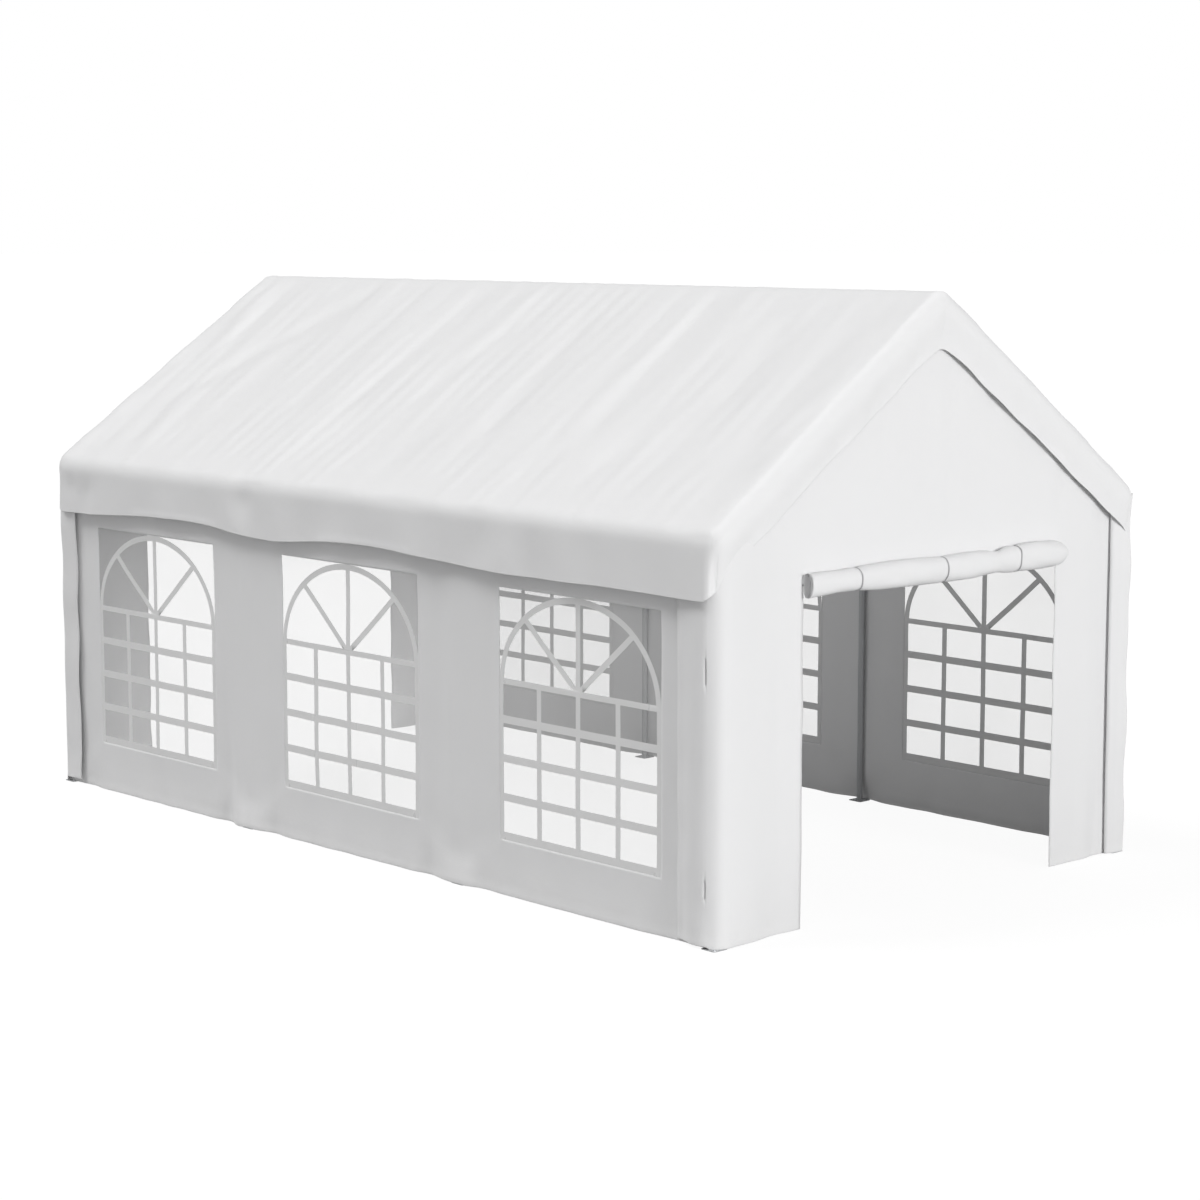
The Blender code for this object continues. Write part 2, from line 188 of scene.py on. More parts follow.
class TentFinishSettings(PropertyGroup):
    """Colours and surfaces."""
    roof_white: colour("Roof Cloth", "Colour of the roof cover", (0.84, 0.84, 0.845))
    wall_white: colour("Wall Cloth", "Colour of the walls and doors", (0.83, 0.83, 0.835))
    bar_grey: colour("Window Bars", "Colour of the bars on the windows", (0.80, 0.80, 0.80))
    film_tint: colour("Clear Film", "Colour of the clear film", (0.95, 0.95, 0.95))
    steel_grey: colour("Painted Steel", "Colour of the frame", (0.50, 0.51, 0.52))
    zinc: colour("Zinc", "Colour of the bolts", (0.55, 0.56, 0.58))
    tie_grey: colour("Ties", "Colour of the straps round the rolls", (0.50, 0.50, 0.51))
    soil: colour("Soil", "Colour of the faint dust near the ground", (0.52, 0.49, 0.44))
    soiling: share("Soiling", "How much dust shows", 0.10)
    film_veil: share("Film Veil", "How much of the light the clear film stops", 0.15)


class TentStageSettings(PropertyGroup):
    """The camera, the lights and the floor."""
    camera_place: FloatVectorProperty(name="Camera", description="Place of the camera",
                                      default=(-11.859, -13.093, 3.784), subtype="XYZ", unit="LENGTH")
    camera_turn: FloatProperty(name="Camera Turn", description="Turn of the camera about the vertical",
                               default=radians(-42.92), subtype="ANGLE", unit="ROTATION")
    camera_dip: FloatProperty(name="Camera Dip", description="How far the camera looks down",
                              default=radians(7.822), subtype="ANGLE", unit="ROTATION")
    lens: FloatProperty(name="Lens", description="Focal length", default=85.72, min=1.0,
                        subtype="DISTANCE_CAMERA")
    sky: share("Sky", "Light from all round", 0.38)
    key: FloatProperty(name="Front Light", description="Strength of the light from the front",
                       default=2.00, min=0.0)
    fill: FloatProperty(name="Fill Light", description="Strength of the lamp inside, in watts",
                        default=18.0, min=0.0)
    key_soft: FloatProperty(name="Front Softness", description="Width of the front light as seen",
                            default=radians(22.0), subtype="ANGLE", unit="ROTATION")
    top: FloatProperty(name="Top Light", description="Strength of the light from above",
                       default=1.76, min=0.0)
    top_soft: FloatProperty(name="Top Softness", description="Width of the top light as seen",
                            default=radians(28.0), subtype="ANGLE", unit="ROTATION")
    floor_grey: share("Floor Grey", "How light the floor is for the light that it throws back", 0.46)
    floor_shade: share("Floor Shade", "How strongly shadows show on the floor", 0.10)
    floor_glow: share("Floor Glow", "How much lighter than its shading the floor shows", 0.93)


# Curved fields that give the cloth its folds


def ease(value):
    """0 below 0 and 1 above 1, with a smooth passage between."""
    value = np.clip(value, 0.0, 1.0)
    return value * value * (3 - 2 * value)


def ripple(u, v, wave_u, wave_v, seed, waves=7):
    """A soft uneven swell of about -1 to 1 with the given wavelengths along two directions."""
    draw = random.Random(seed)
    total = 0.0
    for _ in range(waves):
        turn_u = draw.uniform(0.6, 1.5) / wave_u
        turn_v = draw.uniform(-1.0, 1.0) / wave_v
        total = total + np.sin(2 * pi * (u * turn_u + v * turn_v + draw.random()))
    return total / sqrt(waves)


def line_mark(u, v, start, end, width):
    """1 on the line from start to end, dying away within the width on all sides of it."""
    along = np.subtract(end, start)
    part = ((u - start[0]) * along[0] + (v - start[1]) * along[1]) / (along @ along)
    part = np.clip(part, 0.0, 1.0)
    away = (u - start[0] - part * along[0]) ** 2 + (v - start[1] - part * along[1]) ** 2
    return np.exp(-away / width ** 2)


def near_frame(y, reach):
    """1 at a frame's plane, and 0 from the reach on."""
    nearest = np.min([np.abs(y - place) for place in FRAME_Y], axis=0)
    return 1 - ease(nearest / reach)


# The left slope's creases: place along the tent and down the slope at both ends, depth and width.
# A depth below 0 is a valley, and 1 is the crease depth of the settings.
ROOF_CREASES = (
    ((2.64, 0.18), (2.47, 1.77), -0.9, 0.050),
    ((2.79, 0.31), (2.31, 1.81), 0.9, 0.060),
    ((1.73, 0.26), (2.47, 1.29), -1.1, 0.060),
    ((1.19, 0.13), (1.21, 1.35), -0.9, 0.050),
    ((0.62, 0.27), (0.71, 1.26), -0.9, 0.050),
    ((0.12, 0.20), (0.19, 0.76), 0.7, 0.040),
    ((0.02, 0.55), (0.17, 1.21), -0.8, 0.045),
    ((0.46, 1.63), (-0.10, 1.67), -1.3, 0.120),
    ((-0.58, 0.42), (-0.67, 1.43), -0.9, 0.050),
    ((-1.43, 0.18), (-1.46, 1.31), -1.0, 0.050),
    ((-1.35, 0.30), (-1.38, 1.50), 0.5, 0.050),
    ((-2.18, 0.43), (-2.27, 1.02), -1.0, 0.065),
    ((-1.89, 1.58), (-2.91, 1.54), -1.4, 0.110),
)
VALANCE_DENTS = ((2.67, 1.96, 0.017, 0.10), (2.86, 1.98, 0.012, 0.07), (0.96, 2.02, 0.017, 0.10),
                 (0.20, 1.98, 0.009, 0.16), (-1.25, 1.97, 0.009, 0.14))
HEM_HUMPS = ((-0.26, 0.95), (1.72, 0.95))


def roof_field(place, cloth):
    """How far the roof cover stands out from its taut form at each place."""
    x, y, z = place.T
    left = x < 0
    down = np.abs(x) / cos(SLOPE)
    whole = HALF_SPAN / cos(SLOPE)
    out = np.zeros(len(x))
    for start, end, depth, width in ROOF_CREASES:
        marks = line_mark(y, down, start, end, width * 1.5)
        mirrored = line_mark(-y + 0.3, down, start, end, width * 1.6)
        out += depth * cloth.crease_depth * np.where(left, marks, mirrored)
    on_slope = ease((z - EAVE_HEIGHT + 0.02) / 0.08)
    hang = np.abs(np.sin(pi * (y + HALF_LENGTH) / (2 * HALF_LENGTH / BAYS))) * np.sin(pi * np.clip(down / whole, 0, 1))
    out -= cloth.roof_sag * hang
    out += 0.0022 * ripple(y, down, 0.42, 2.4, 5)
    out += 0.0012 * ripple(y, down, 0.17, 0.9, 6)
    out *= on_slope
    rake = ease((np.abs(y) - HALF_LENGTH + 0.16) / 0.12)
    out += rake * on_slope * 0.006 * ease(0.5 + 0.5 * ripple(down, x * 0, 0.42, 1.0, 11))
    hemwards = ease((EAVE_HEIGHT - z) / 0.28)
    out += (1 - on_slope) * (0.0015 + 0.006 * hemwards) * ripple(y, z, 0.62, 1.4, 8)
    out += 0.0022 * ripple(y, x * 0, 0.9, 1.0, 9) * np.exp(-((z - EAVE_HEIGHT + 0.01) / 0.07) ** 2)
    for dent_y, dent_z, depth, width in VALANCE_DENTS:
        out -= depth * (1 - on_slope) * np.exp(-((y - dent_y) ** 2 + (z - dent_z) ** 2) / width ** 2)
    by_ridge = 1 - ease((down - 0.03) / 0.12)
    by_eave = (1 - ease((whole - down - 0.06) / 0.12)) * on_slope
    held = np.maximum(near_frame(y, 0.16) * on_slope, np.maximum(by_ridge, by_eave))
    return np.where(out < 0, out * (1 - held), out)


def gable_flap_field(place, side_sign):
    """The roof's flap over a gable: its left half lies close to the wall and its right half stands off."""
    x, y, z = place.T
    below = np.clip((COVER_HIGH.z - np.abs(x) * tan(SLOPE) - z) / GABLE_FLAP_DROP, 0, 1)
    handed = x * -side_sign
    lift = -0.030 + np.where(handed > 0, 0.006, -0.008) * ease(np.abs(x) / 0.5)
    wave = ripple(x, z, 0.42, 1.2, 21 + side_sign) * 0.005
    return (lift + wave) * ease(below)


def side_wall_field(y, z, seed, cloth):
    """Soft folds of a side wall, which its windows follow too."""
    out = 0.0014 * ripple(y, z, 0.5, 2.2, seed) + 0.0010 * ripple(z, y, 0.8, 1.7, seed + 1)
    for leg in FRAME_Y:
        beside = np.abs(y - leg)
        out -= cloth.wall_fold * np.exp(-((beside - 0.26) / 0.10) ** 2) * ease((2.1 - z) / 0.4)
    for low, high in WINDOWS:
        centre = (low.y + high.y) / 2
        for edge, turn in ((low.y, -1), (high.y, 1)):
            foot = centre + turn * (WINDOW_WIDTH / 2 + 0.30)
            out += 0.32 * cloth.wall_fold * line_mark(y, z, (edge, low.z - 0.02), (foot, 0.05), 0.075)
            out -= 0.22 * cloth.wall_fold * line_mark(y, z, (edge + turn * 0.11, low.z), (foot, 0.18), 0.09)
            out += 0.30 * cloth.wall_fold * line_mark(y, z, (edge, high.z), (foot, 2.05), 0.08)
        out -= 0.0025 * line_mark(y, z, (centre - 0.5, 0.16), (centre + 0.5, 0.17), 0.08)
    out += 0.004 * ripple(y, z, 0.34, 1.5, seed + 2) * ease((0.30 - z) / 0.30)
    out += 0.007 * ease((0.32 - z) / 0.32) * ease((2.80 - np.abs(y)) / 0.2)
    out += 0.0045 * ripple(y, z, 0.30, 2.4, seed + 5) * near_frame(y, 0.42)
    held = near_frame(y, 0.07)
    inner = np.min([np.abs(y - leg) for leg in FRAME_Y[1:-1]], axis=0)
    over_plate = 0.020 * (1 - ease((inner - 0.04) / 0.16)) * (1 - ease((z - 0.02) / 0.16))
    return np.where(out < 0, out * (1 - held), out * (1 - 0.4 * held)) + over_plate


def gable_wall_field(x, z, seed, cloth):
    """Soft folds of a gable wall: upright ones under the peak, and hardly any round the doorway."""
    out = 0.0016 * ripple(x, z, 0.45, 3.0, seed) + 0.0008 * ripple(x, z, 0.2, 1.5, seed + 1)
    peak = ease((z - 2.15) / 0.5) * ease((0.9 - np.abs(x)) / 0.5)
    out += 0.0011 * ripple(x, z, 0.22, 3.5, seed + 2) * peak
    foot = ease((0.5 - z) / 0.5)
    out += 0.003 * ripple(x, z, 0.3, 2.0, seed + 3) * foot
    calm = ease((DOOR_HALF_WIDTH + 0.1 - np.abs(x)) / 0.1) * np.exp(-((z - 1.88) / 0.12) ** 2)
    corner = 1 - ease((np.abs(x) - HALF_SPAN + 0.10) / 0.08)
    out -= 0.012 * ease((x - 1.36) / 0.16) * (1 - ease((x - 1.56) / 0.06))
    return out * (1 - calm) * corner


def wall_field(place, outward, seed, cloth):
    """Folds of a wall that may turn round a corner."""
    x, y, z = place.T
    side = ease(np.abs(outward[:, 0]) * 2 - 0.5)
    level = side_wall_field(y, z, seed, cloth)
    return side * level + (1 - side) * gable_wall_field(x, z, seed + 40, cloth)


# Meshes


def cut_line(marks, step):
    """Places from the first mark to the last, at every mark and no further apart than the step."""
    places = []
    for start, end in zip(marks, marks[1:]):
        count = max(1, ceil((end - start) / step - 0.001))
        places += [start + (end - start) * i / count for i in range(count)]
    return places + [marks[-1]]


def edged_line(size, step, rounding):
    """Places from 0 to the size, close together at both ends where the sheet turns."""
    fine = [rounding * part for part in (0.0, 0.1, 0.22, 0.36, 0.52, 0.70, 0.95)]
    inner = cut_line([fine[-1], size - fine[-1]], step)
    return fine[:-1] + inner + [size - part for part in reversed(fine[:-1])]


def new_piece(name, mesh, material, slot, *nodes):
    """A piece of the tent that stands for the named nodes."""
    piece = bpy.data.objects.new(name, mesh)
    bpy.context.scene.collection.objects.link(piece)
    mesh.materials.clear()
    mesh.materials.append(material)
    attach(piece, "root")
    if nodes:
        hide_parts(*nodes)
    return piece


def patch(form, places, keep=None):
    """Faces over a grid of places, left out where keep says no for a cell's centre."""
    rows = [[form.verts.new(place) for place in line] for line in places]
    for i in range(len(rows) - 1):
        for j in range(len(rows[i]) - 1):
            corners = (rows[i][j], rows[i + 1][j], rows[i + 1][j + 1], rows[i][j + 1])
            if keep is None or keep(sum((v.co for v in corners), Vector()) / 4):
                form.faces.new(corners)


def finished(form, name, merge=0.0002):
    """The form as a smooth mesh with its points merged and its faces turned one way."""
    bmesh.ops.remove_doubles(form, verts=form.verts, dist=merge)
    loose = [vert for vert in form.verts if not vert.link_faces]
    bmesh.ops.delete(form, geom=loose, context="VERTS")
    bmesh.ops.recalc_face_normals(form, faces=form.faces)
    mesh = bpy.data.meshes.new(name)
    form.to_mesh(mesh)
    form.free()
    mesh.shade_smooth()
    return mesh


def points_of(mesh):
    """The mesh's points as an array."""
    flat = np.empty(len(mesh.vertices) * 3)
    mesh.vertices.foreach_get("co", flat)
    return flat.reshape(-1, 3)


def set_points(mesh, places):
    """Move the mesh's points."""
    mesh.vertices.foreach_set("co", np.ascontiguousarray(places, dtype=float).ravel())
    mesh.update()


def outward_of(mesh):
    """Each point's normal, turned away from the middle of the tent."""
    flat = np.empty(len(mesh.vertices) * 3)
    mesh.vertex_normals.foreach_get("vector", flat)
    normals = flat.reshape(-1, 3)
    places = points_of(mesh)
    facing = np.sum(normals * (places - (0, 0, 1.0)), axis=1).sum()
    if facing < 0:
        mesh.flip_normals()
        return outward_of(mesh)
    return normals


def thicken(piece, thickness):
    """Give an open sheet its thickness, half to each side."""
    step = piece.modifiers.new("Cloth Thickness", "SOLIDIFY")
    step.thickness = thickness
    step.offset = 0.0


def smooth_by_angle(mesh, angle=35):
    """Shade a mesh smooth apart from its sharp edges."""
    mesh.shade_smooth()
    mesh.set_sharp_from_angle(angle=radians(angle))
    return mesh


# The roof cover


def rounded_cover(sharp, inset):
    """Turn places on the cover's sharp form into places on its rounded one.

    Each place goes to the nearest place of a smaller house inside, and out from there by the
    bend's radius. Along the tent the radius is that of the gable's edge.
    """
    x, y, z = sharp.T
    wide = np.abs(x)
    full_bend = RIDGE_BEND + (EAVE_BEND - RIDGE_BEND) * ease((wide - 0.7) / 0.5)
    bend = full_bend - inset
    end_bend = RAKE_BEND + (CORNER_BEND - RAKE_BEND) * ease((2.22 - z) / 0.18)
    along = (end_bend - inset) / bend
    ridge = COVER_RIDGE - full_bend / cos(SLOPE)
    side = COVER_HIGH.x - full_bend
    eave = ridge - side * tan(SLOPE)
    end = COVER_HIGH.y - end_bend
    slope_length = side / cos(SLOPE)
    part = np.clip((wide * cos(SLOPE) + (ridge - z) * sin(SLOPE)) / slope_length, 0, 1)
    on_slope = np.stack([part * side, ridge - part * side * tan(SLOPE)])
    on_side = np.stack([side, np.minimum(z, eave)])
    here = np.stack([wide, z])
    slope_gap = np.hypot(*(here - on_slope))
    side_gap = np.hypot(*(here - on_side))
    core = np.where(slope_gap < side_gap, on_slope, on_side)
    inside = (z <= ridge - wide * tan(SLOPE)) & (wide <= side)
    core = np.where(inside, here, core)
    out_x, out_z = here - core
    core_y = np.clip(y, -end, end)
    out_y = (y - core_y) / along
    reach = np.maximum(np.sqrt(out_x ** 2 + out_y ** 2 + out_z ** 2), 1e-9)
    scale = bend / reach
    return np.stack([np.sign(x) * (core[0] + out_x * scale), core_y + out_y * scale * along,
                     core[1] + out_z * scale], axis=1)


COVER_RIDGE = COVER_HIGH.z + RIDGE_BEND * (1 / cos(SLOPE) - 1)


def puffed_cover(place):
    """The rounded cover swollen past the frame, most of all at the front gable."""
    x, y, z = place.T
    above_flap = np.clip((z - COVER_RIDGE + np.abs(x) * tan(SLOPE)) / GABLE_FLAP_DROP + 1, 0, 1)
    lift = (0.012 - 0.0038 * y) * ease((z - 2.0) / 1.0) * above_flap
    longer = 1 + np.where(y < 0, COVER_PUFF / COVER_HIGH.y, 0.0)
    return np.stack([x * (1 + COVER_PUFF / COVER_HIGH.x), y * longer, z + lift], axis=1)


def side_hem(y, cloth):
    """Height of the roof's side hem."""
    height = cloth.hem_low + 0.0035 * np.sin(y * 5.3 + 1.0)
    for centre, half in HEM_HUMPS:
        height += cloth.hem_rise * np.maximum(0.0, np.cos(pi / 2 * np.clip((y - centre) / half, -1, 1))) ** 1.5
    return height + 0.045 * ease((np.abs(y) - HALF_LENGTH + 0.06) / 0.09)


def valance_rows(top, low, cloth):
    """Heights from the sharp eave down to the hem, with the hem's own lines."""
    drop = top - low
    shares = [part / drop for part in (0.0, 0.008, 0.018, 0.03, 0.044, 0.062, 0.085)]
    hem = [1 - cloth.hem_width / drop, 1 - (cloth.hem_width - 0.004) / drop, 1 - 0.004 / drop, 1.0]
    return shares + cut_line([shares[-1], hem[0]], 0.12)[1:] + hem[1:]


def build_roof_cover(cloth):
    """One continuous sheet over both slopes, with a hem down each side and a flap on each gable."""
    half_width, half_length = COVER_HIGH.x, COVER_HIGH.y
    eave = COVER_RIDGE - half_width * tan(SLOPE)
    ys = [place - half_length for place in edged_line(2 * half_length, 0.026, 0.07)]
    xs = [place * cos(SLOPE) for place in edged_line(half_width / cos(SLOPE), 0.042, 0.11)]
    rows = valance_rows(0.28, 0.0, cloth)
    form = bmesh.new()
    for sign in (-1, 1):
        patch(form, [[(sign * x, y, COVER_RIDGE - x * tan(SLOPE)) for y in ys] for x in xs])
        hem = [float(side_hem(np.float64(sign * y * -1), cloth)) for y in ys]
        patch(form, [[(sign * half_width, y, eave + (low - eave) * part) for y, low in zip(ys, hem)]
                     for part in rows])
        for y, low in ((-half_length, hem[0]), (half_length, hem[-1])):
            def flap(x, part):
                edge = GABLE_FLAP_DROP + (eave - low - GABLE_FLAP_DROP) * (x / half_width) ** 8
                edge += (sqrt(x * x + FLAP_PEAK_BEND ** 2) - x) * tan(SLOPE)
                wave = 0.004 * sin(x * 9.0 + y) * min(1.0, 3 * (1 - x / half_width))
                return sign * x, y, COVER_RIDGE - x * tan(SLOPE) - (edge + wave) * part
            patch(form, [[flap(x, part) for x in xs] for part in rows])
    mesh = finished(form, "roof_cover_sheet")
    sharp = points_of(mesh)
    set_points(mesh, puffed_cover(rounded_cover(sharp, 0.0022)))
    outward = outward_of(mesh)
    place = points_of(mesh)
    on_gable = ease(np.abs(outward[:, 1]) * 2.5 - 1.0)
    field = (1 - on_gable) * roof_field(place, cloth)
    field += on_gable * np.where(place[:, 1] < 0, gable_flap_field(place, -1), gable_flap_field(place, 1))
    field += hem_band(sharp, eave, cloth)
    set_points(mesh, place + outward * field[:, None])
    return mesh


def hem_band(sharp, eave, cloth):
    """The doubled hem along the lower edges of the cover."""
    x, y, z = sharp.T
    on_end = np.abs(y) > COVER_HIGH.y - 0.001
    gable_low = COVER_RIDGE - np.abs(x) * tan(SLOPE) - GABLE_FLAP_DROP
    side_low = side_hem(np.where(x < 0, y, -y), cloth)
    above = np.where(on_end, z - gable_low, z - side_low)
    hem = (above < cloth.hem_width - 0.002) & (z < COVER_RIDGE)
    on_sheet = on_end | (np.abs(x) > COVER_HIGH.x - 0.001)
    return cloth.hem_lift * (hem & on_sheet)


# The walls


def plan_points(corners, radius, step, marks=(), extra_turns=()):
    """Places along a plan line with rounded corners, at each mark and no further apart than the step."""
    turns = sorted([pi / 2 * i / 8 for i in range(1, 8)] + list(extra_turns))
    places = []
    runs = list(zip(corners, corners[1:]))
    for number, (start, end) in enumerate(runs):
        start, end = Vector(start), Vector(end)
        ahead = (end - start).normalized()
        first = start + ahead * (radius if number else 0)
        last = end - ahead * (radius if number < len(runs) - 1 else 0)
        axis = 0 if abs(ahead.x) > 0.5 else 1
        size = (last - first).length
        cuts = [(value - first[axis]) / ahead[axis] for on_axis, value in marks if on_axis == axis]
        inner = sorted(cut for cut in cuts if 0.001 < cut < size - 0.001)
        places += [first + ahead * part for part in cut_line([0.0, *inner, size], step)]
        if number < len(runs) - 1:
            after = (Vector(corners[number + 2]) - end).normalized()
            centre = end - ahead * radius + after * radius
            for turn in turns:
                places.append(centre - after * radius * cos(turn) + ahead * radius * sin(turn))
    return places


def window_marks(cloth):
    """Places along the tent of the windows' edges and of the weld beside each."""
    marks = []
    for low, high in WINDOWS:
        marks += [(1, value) for value in (low.y - 0.014, low.y, high.y, high.y + 0.014)]
    return marks


def in_window(place):
    """Whether a place lies in one of the windows."""
    for low, high in WINDOWS:
        if low.y < place.y < high.y and low.z < place.z < high.z:
            return True
    return False


def wall_rows(bottom, top, marks, cloth, step):
    """Heights of a wall's rows, with its hem's own lines."""
    return cut_line([bottom, bottom + 0.004, bottom + cloth.hem_width - 0.004,
                     bottom + cloth.hem_width, *marks, top - 0.03, top], step)


def finish_wall(name, mesh, seed, hem_at, cloth, shift=None):
    """Give a flat wall its folds, its hem and the weld round its windows."""
    flat = points_of(mesh)
    outward = outward_of(mesh)
    field = wall_field(flat, outward, seed, cloth)
    hem = flat[:, 2] < hem_at + cloth.hem_width - 0.002
    field = field + cloth.hem_lift * hem
    if "side" in name:
        for low, high in WINDOWS:
            beyond_y = np.maximum(low.y - flat[:, 1], flat[:, 1] - high.y)
            beyond_z = np.maximum(low.z - flat[:, 2], flat[:, 2] - high.z)
            beyond = np.maximum(beyond_y, beyond_z)
            field += 0.0007 * ((beyond > -0.002) & (beyond < 0.012))
    place = flat + outward * field[:, None]
    if shift is not None:
        place += shift(flat, outward)
    set_points(mesh, place)


def build_side_wall(side, sign, cloth):
    """A long wall with three window openings; the right one wraps round both of its corners."""
    if side == "left":
        corners = ((-SIDE_WALL_X, LEFT_WALL_LOW.y), (-SIDE_WALL_X, LEFT_WALL_HIGH.y))
    else:
        strip = RIGHT_WALL_LOW.x
        corners = ((strip, -OUTER_LAYER_Y), (SIDE_WALL_X, -OUTER_LAYER_Y),
                   (SIDE_WALL_X, OUTER_LAYER_Y), (strip, OUTER_LAYER_Y))
    plan = plan_points(corners, WALL_BEND, cloth.spacing, window_marks(cloth))
    bottom, top = LEFT_WALL_LOW.z, LEFT_WALL_HIGH.z
    marks = (WINDOW_LOW.z - 0.014, WINDOW_LOW.z, WINDOW_HIGH.z, WINDOW_HIGH.z + 0.014)
    rows = wall_rows(bottom, top, marks, cloth, 0.045)
    form = bmesh.new()
    patch(form, [[(spot.x, spot.y, z) for spot in plan] for z in rows],
          keep=lambda place: abs(place.x) < SIDE_WALL_X - 0.01 or not in_window(place))
    mesh = finished(form, f"{side}_side_wall")

    def stand_off(flat, outward):
        x, y, z = flat.T
        moved = np.zeros_like(flat)
        on_strip = (np.abs(outward[:, 1]) > 0.9) & (x > 0)
        free = ease((HALF_SPAN - 0.02 - x) / (HALF_SPAN - RIGHT_WALL_LOW.x)) * on_strip
        by_corner = ease((np.abs(y) - 2.66) / 0.28)
        swell = STRIP_PUFF * by_corner * (1 + 0.12 * ripple(z, y * 0, 0.6, 1.0, 51))
        moved[:, 1] = np.sign(y) * (free * 0.014 + (1 - free) * swell * ease((x - 1.5) / 0.1))
        moved[:, 0] = free * 0.008 * (0.5 - z / 2.1) + (1 - free) * swell
        return moved

    finish_wall(mesh.name, mesh, 60 + sign, bottom, cloth, stand_off if side == "right" else None)
    return mesh


def build_gable_wall(name, sign, low, high, cloth):
    """A gable wall with its doorway; its left end wraps over the end of the left wall."""
    flap_end = high.y if sign < 0 else low.y
    y_line = sign * abs(INNER_LAYER_Y)
    bend, wrap_out, wrap_x, free_x = (0.11, 0.029, -1.724, 0.013) if sign < 0 else (0.07, 0.032, -1.727, 0.010)
    corners = ((high.x, y_line), (wrap_x, y_line), (wrap_x, flap_end))
    marks = [(0, edge) for edge in (-DOOR_HALF_WIDTH - 0.026, -DOOR_HALF_WIDTH, 0.0, DOOR_HALF_WIDTH,
                                    DOOR_HALF_WIDTH + 0.026)]
    slit = pi / 2 - SLIT_TURN
    plan = plan_points(corners, bend, cloth.spacing, marks,
                       [slit + offset / bend for offset in (-0.0055, -0.0015, 0.0015, 0.0055)])
    bottom = low.z
    slit_marks = [mark for start, end in SLITS for mark in (start, start + 0.02, end - 0.02, end)]
    lower = wall_rows(bottom, DOOR_TOP + 0.03, (*slit_marks, DOOR_TOP), cloth, 0.05)
    upper = cut_line([0.0, 1.0], 1 / 26)[1:]
    top_line = high.z - 0.003

    def top_of(spot):
        slope_top = top_line - abs(spot.x) * tan(SLOPE)
        return min(slope_top, FLAP_TOP) if spot.x < -HALF_SPAN + 0.05 else slope_top

    heights = [[z for _ in plan] for z in lower]
    heights += [[lower[-1] + (top_of(spot) - lower[-1]) * part for spot in plan] for part in upper]
    form = bmesh.new()
    patch(form, [[(spot.x, spot.y, z) for spot, z in zip(plan, line)] for line in heights],
          keep=lambda place: abs(place.x) > DOOR_HALF_WIDTH or place.z > DOOR_TOP)
    mesh = finished(form, f"{name}_gable_wall")
    flap_bottom = 0.016 if sign < 0 else 0.034

    def shift(flat, outward):
        x, y, z = flat.T
        moved = np.zeros_like(flat)
        beside = np.exp(-((np.abs(x) - DOOR_HALF_WIDTH) / 0.12) ** 2) * ease((DOOR_TOP - z) / 0.3)
        moved[:, 0] = np.sign(x) * beside * 0.004 * ripple(z, x * 0, 0.5, 1.0, 71 + sign)
        on_flap = np.abs(outward[:, 0]) > 0.9
        free = ease(1 - np.abs(y - flap_end) / 0.16) * on_flap
        moved[:, 1] += free * 0.004 * ripple(z, x * 0, 0.55, 1.0, 75 + sign)
        moved[:, 0] += free * (free_x + 0.002 * ripple(z, x * 0, 0.45, 1.0, 77 + sign))
        lift = (flap_bottom - bottom) * on_flap * ease(1 - z / 0.4)
        moved[:, 2] += lift
        by_corner = ease((-x - 1.2) / 0.4) * ease((np.abs(y) - 2.86) / 0.1)
        moved[:, 1] += sign * wrap_out * by_corner
        if sign < 0:
            centre = np.array([wrap_x + bend, y_line + bend])
            turn = np.arctan2(centre[1] - y, centre[0] - x)
            across = 1 - ease((np.abs(turn - SLIT_TURN) * bend - 0.0015) / 0.004)
            tall = sum(ease((z - start) / 0.02) * ease((end - z) / 0.02) for start, end in SLITS)
            moved -= outward * (0.011 * across * tall * (x < centre[0]) * (y < centre[1]))[:, None]
        if sign > 0:
            moved[:, 0] += 0.004 * ripple(z, x * 0, 0.5, 1.0, 73) * ease((-x - 1.5) / 0.1)
        return moved

    finish_wall(mesh.name, mesh, 80 + sign, bottom, cloth, shift)
    return mesh


# The windows


def film_field(y, z, window, seed, cloth):
    """The wall's folds carried across a window, with the film's own faint ripple."""
    low, high = window
    inner = ease((y - low.y) / 0.25) * ease((high.y - y) / 0.25)
    inner = inner * ease((z - low.z) / 0.25) * ease((high.z - z) / 0.25)
    return side_wall_field(y, z, seed, cloth) + 0.0016 * inner * ripple(y + low.y, z, 0.45, 1.0, 33)


def place_in_window(mesh, sign, window, seed, cloth):
    """Stand a mesh drawn in (Y, Z, depth) in a window's opening and bend it with the wall."""
    y, z, depth = points_of(mesh).T
    low, high = window
    y = y + (low.y + high.y) / 2
    z = z + low.z
    out = film_field(y, z, window, seed, cloth)
    set_points(mesh, np.stack([sign * (SIDE_WALL_X + out + depth), y, z], axis=1))


def build_film(name, sign, window, seed, cloth):
    """The clear sheet of one window."""
    half = WINDOW_WIDTH / 2 + 0.004
    form = bmesh.new()
    columns = cut_line([-half, half], 0.045)
    rows = cut_line([-0.004, WINDOW_HEIGHT + 0.004], 0.045)
    patch(form, [[(y, z, 0.0) for y in columns] for z in rows])
    mesh = finished(form, name)
    place_in_window(mesh, sign, window, seed, cloth)
    return mesh


def arch_reach(angle, wide, high):
    """Distance from the arch's centre to its curve at an angle."""
    return 1 / sqrt((cos(angle) / wide) ** 2 + (sin(angle) / high) ** 2)


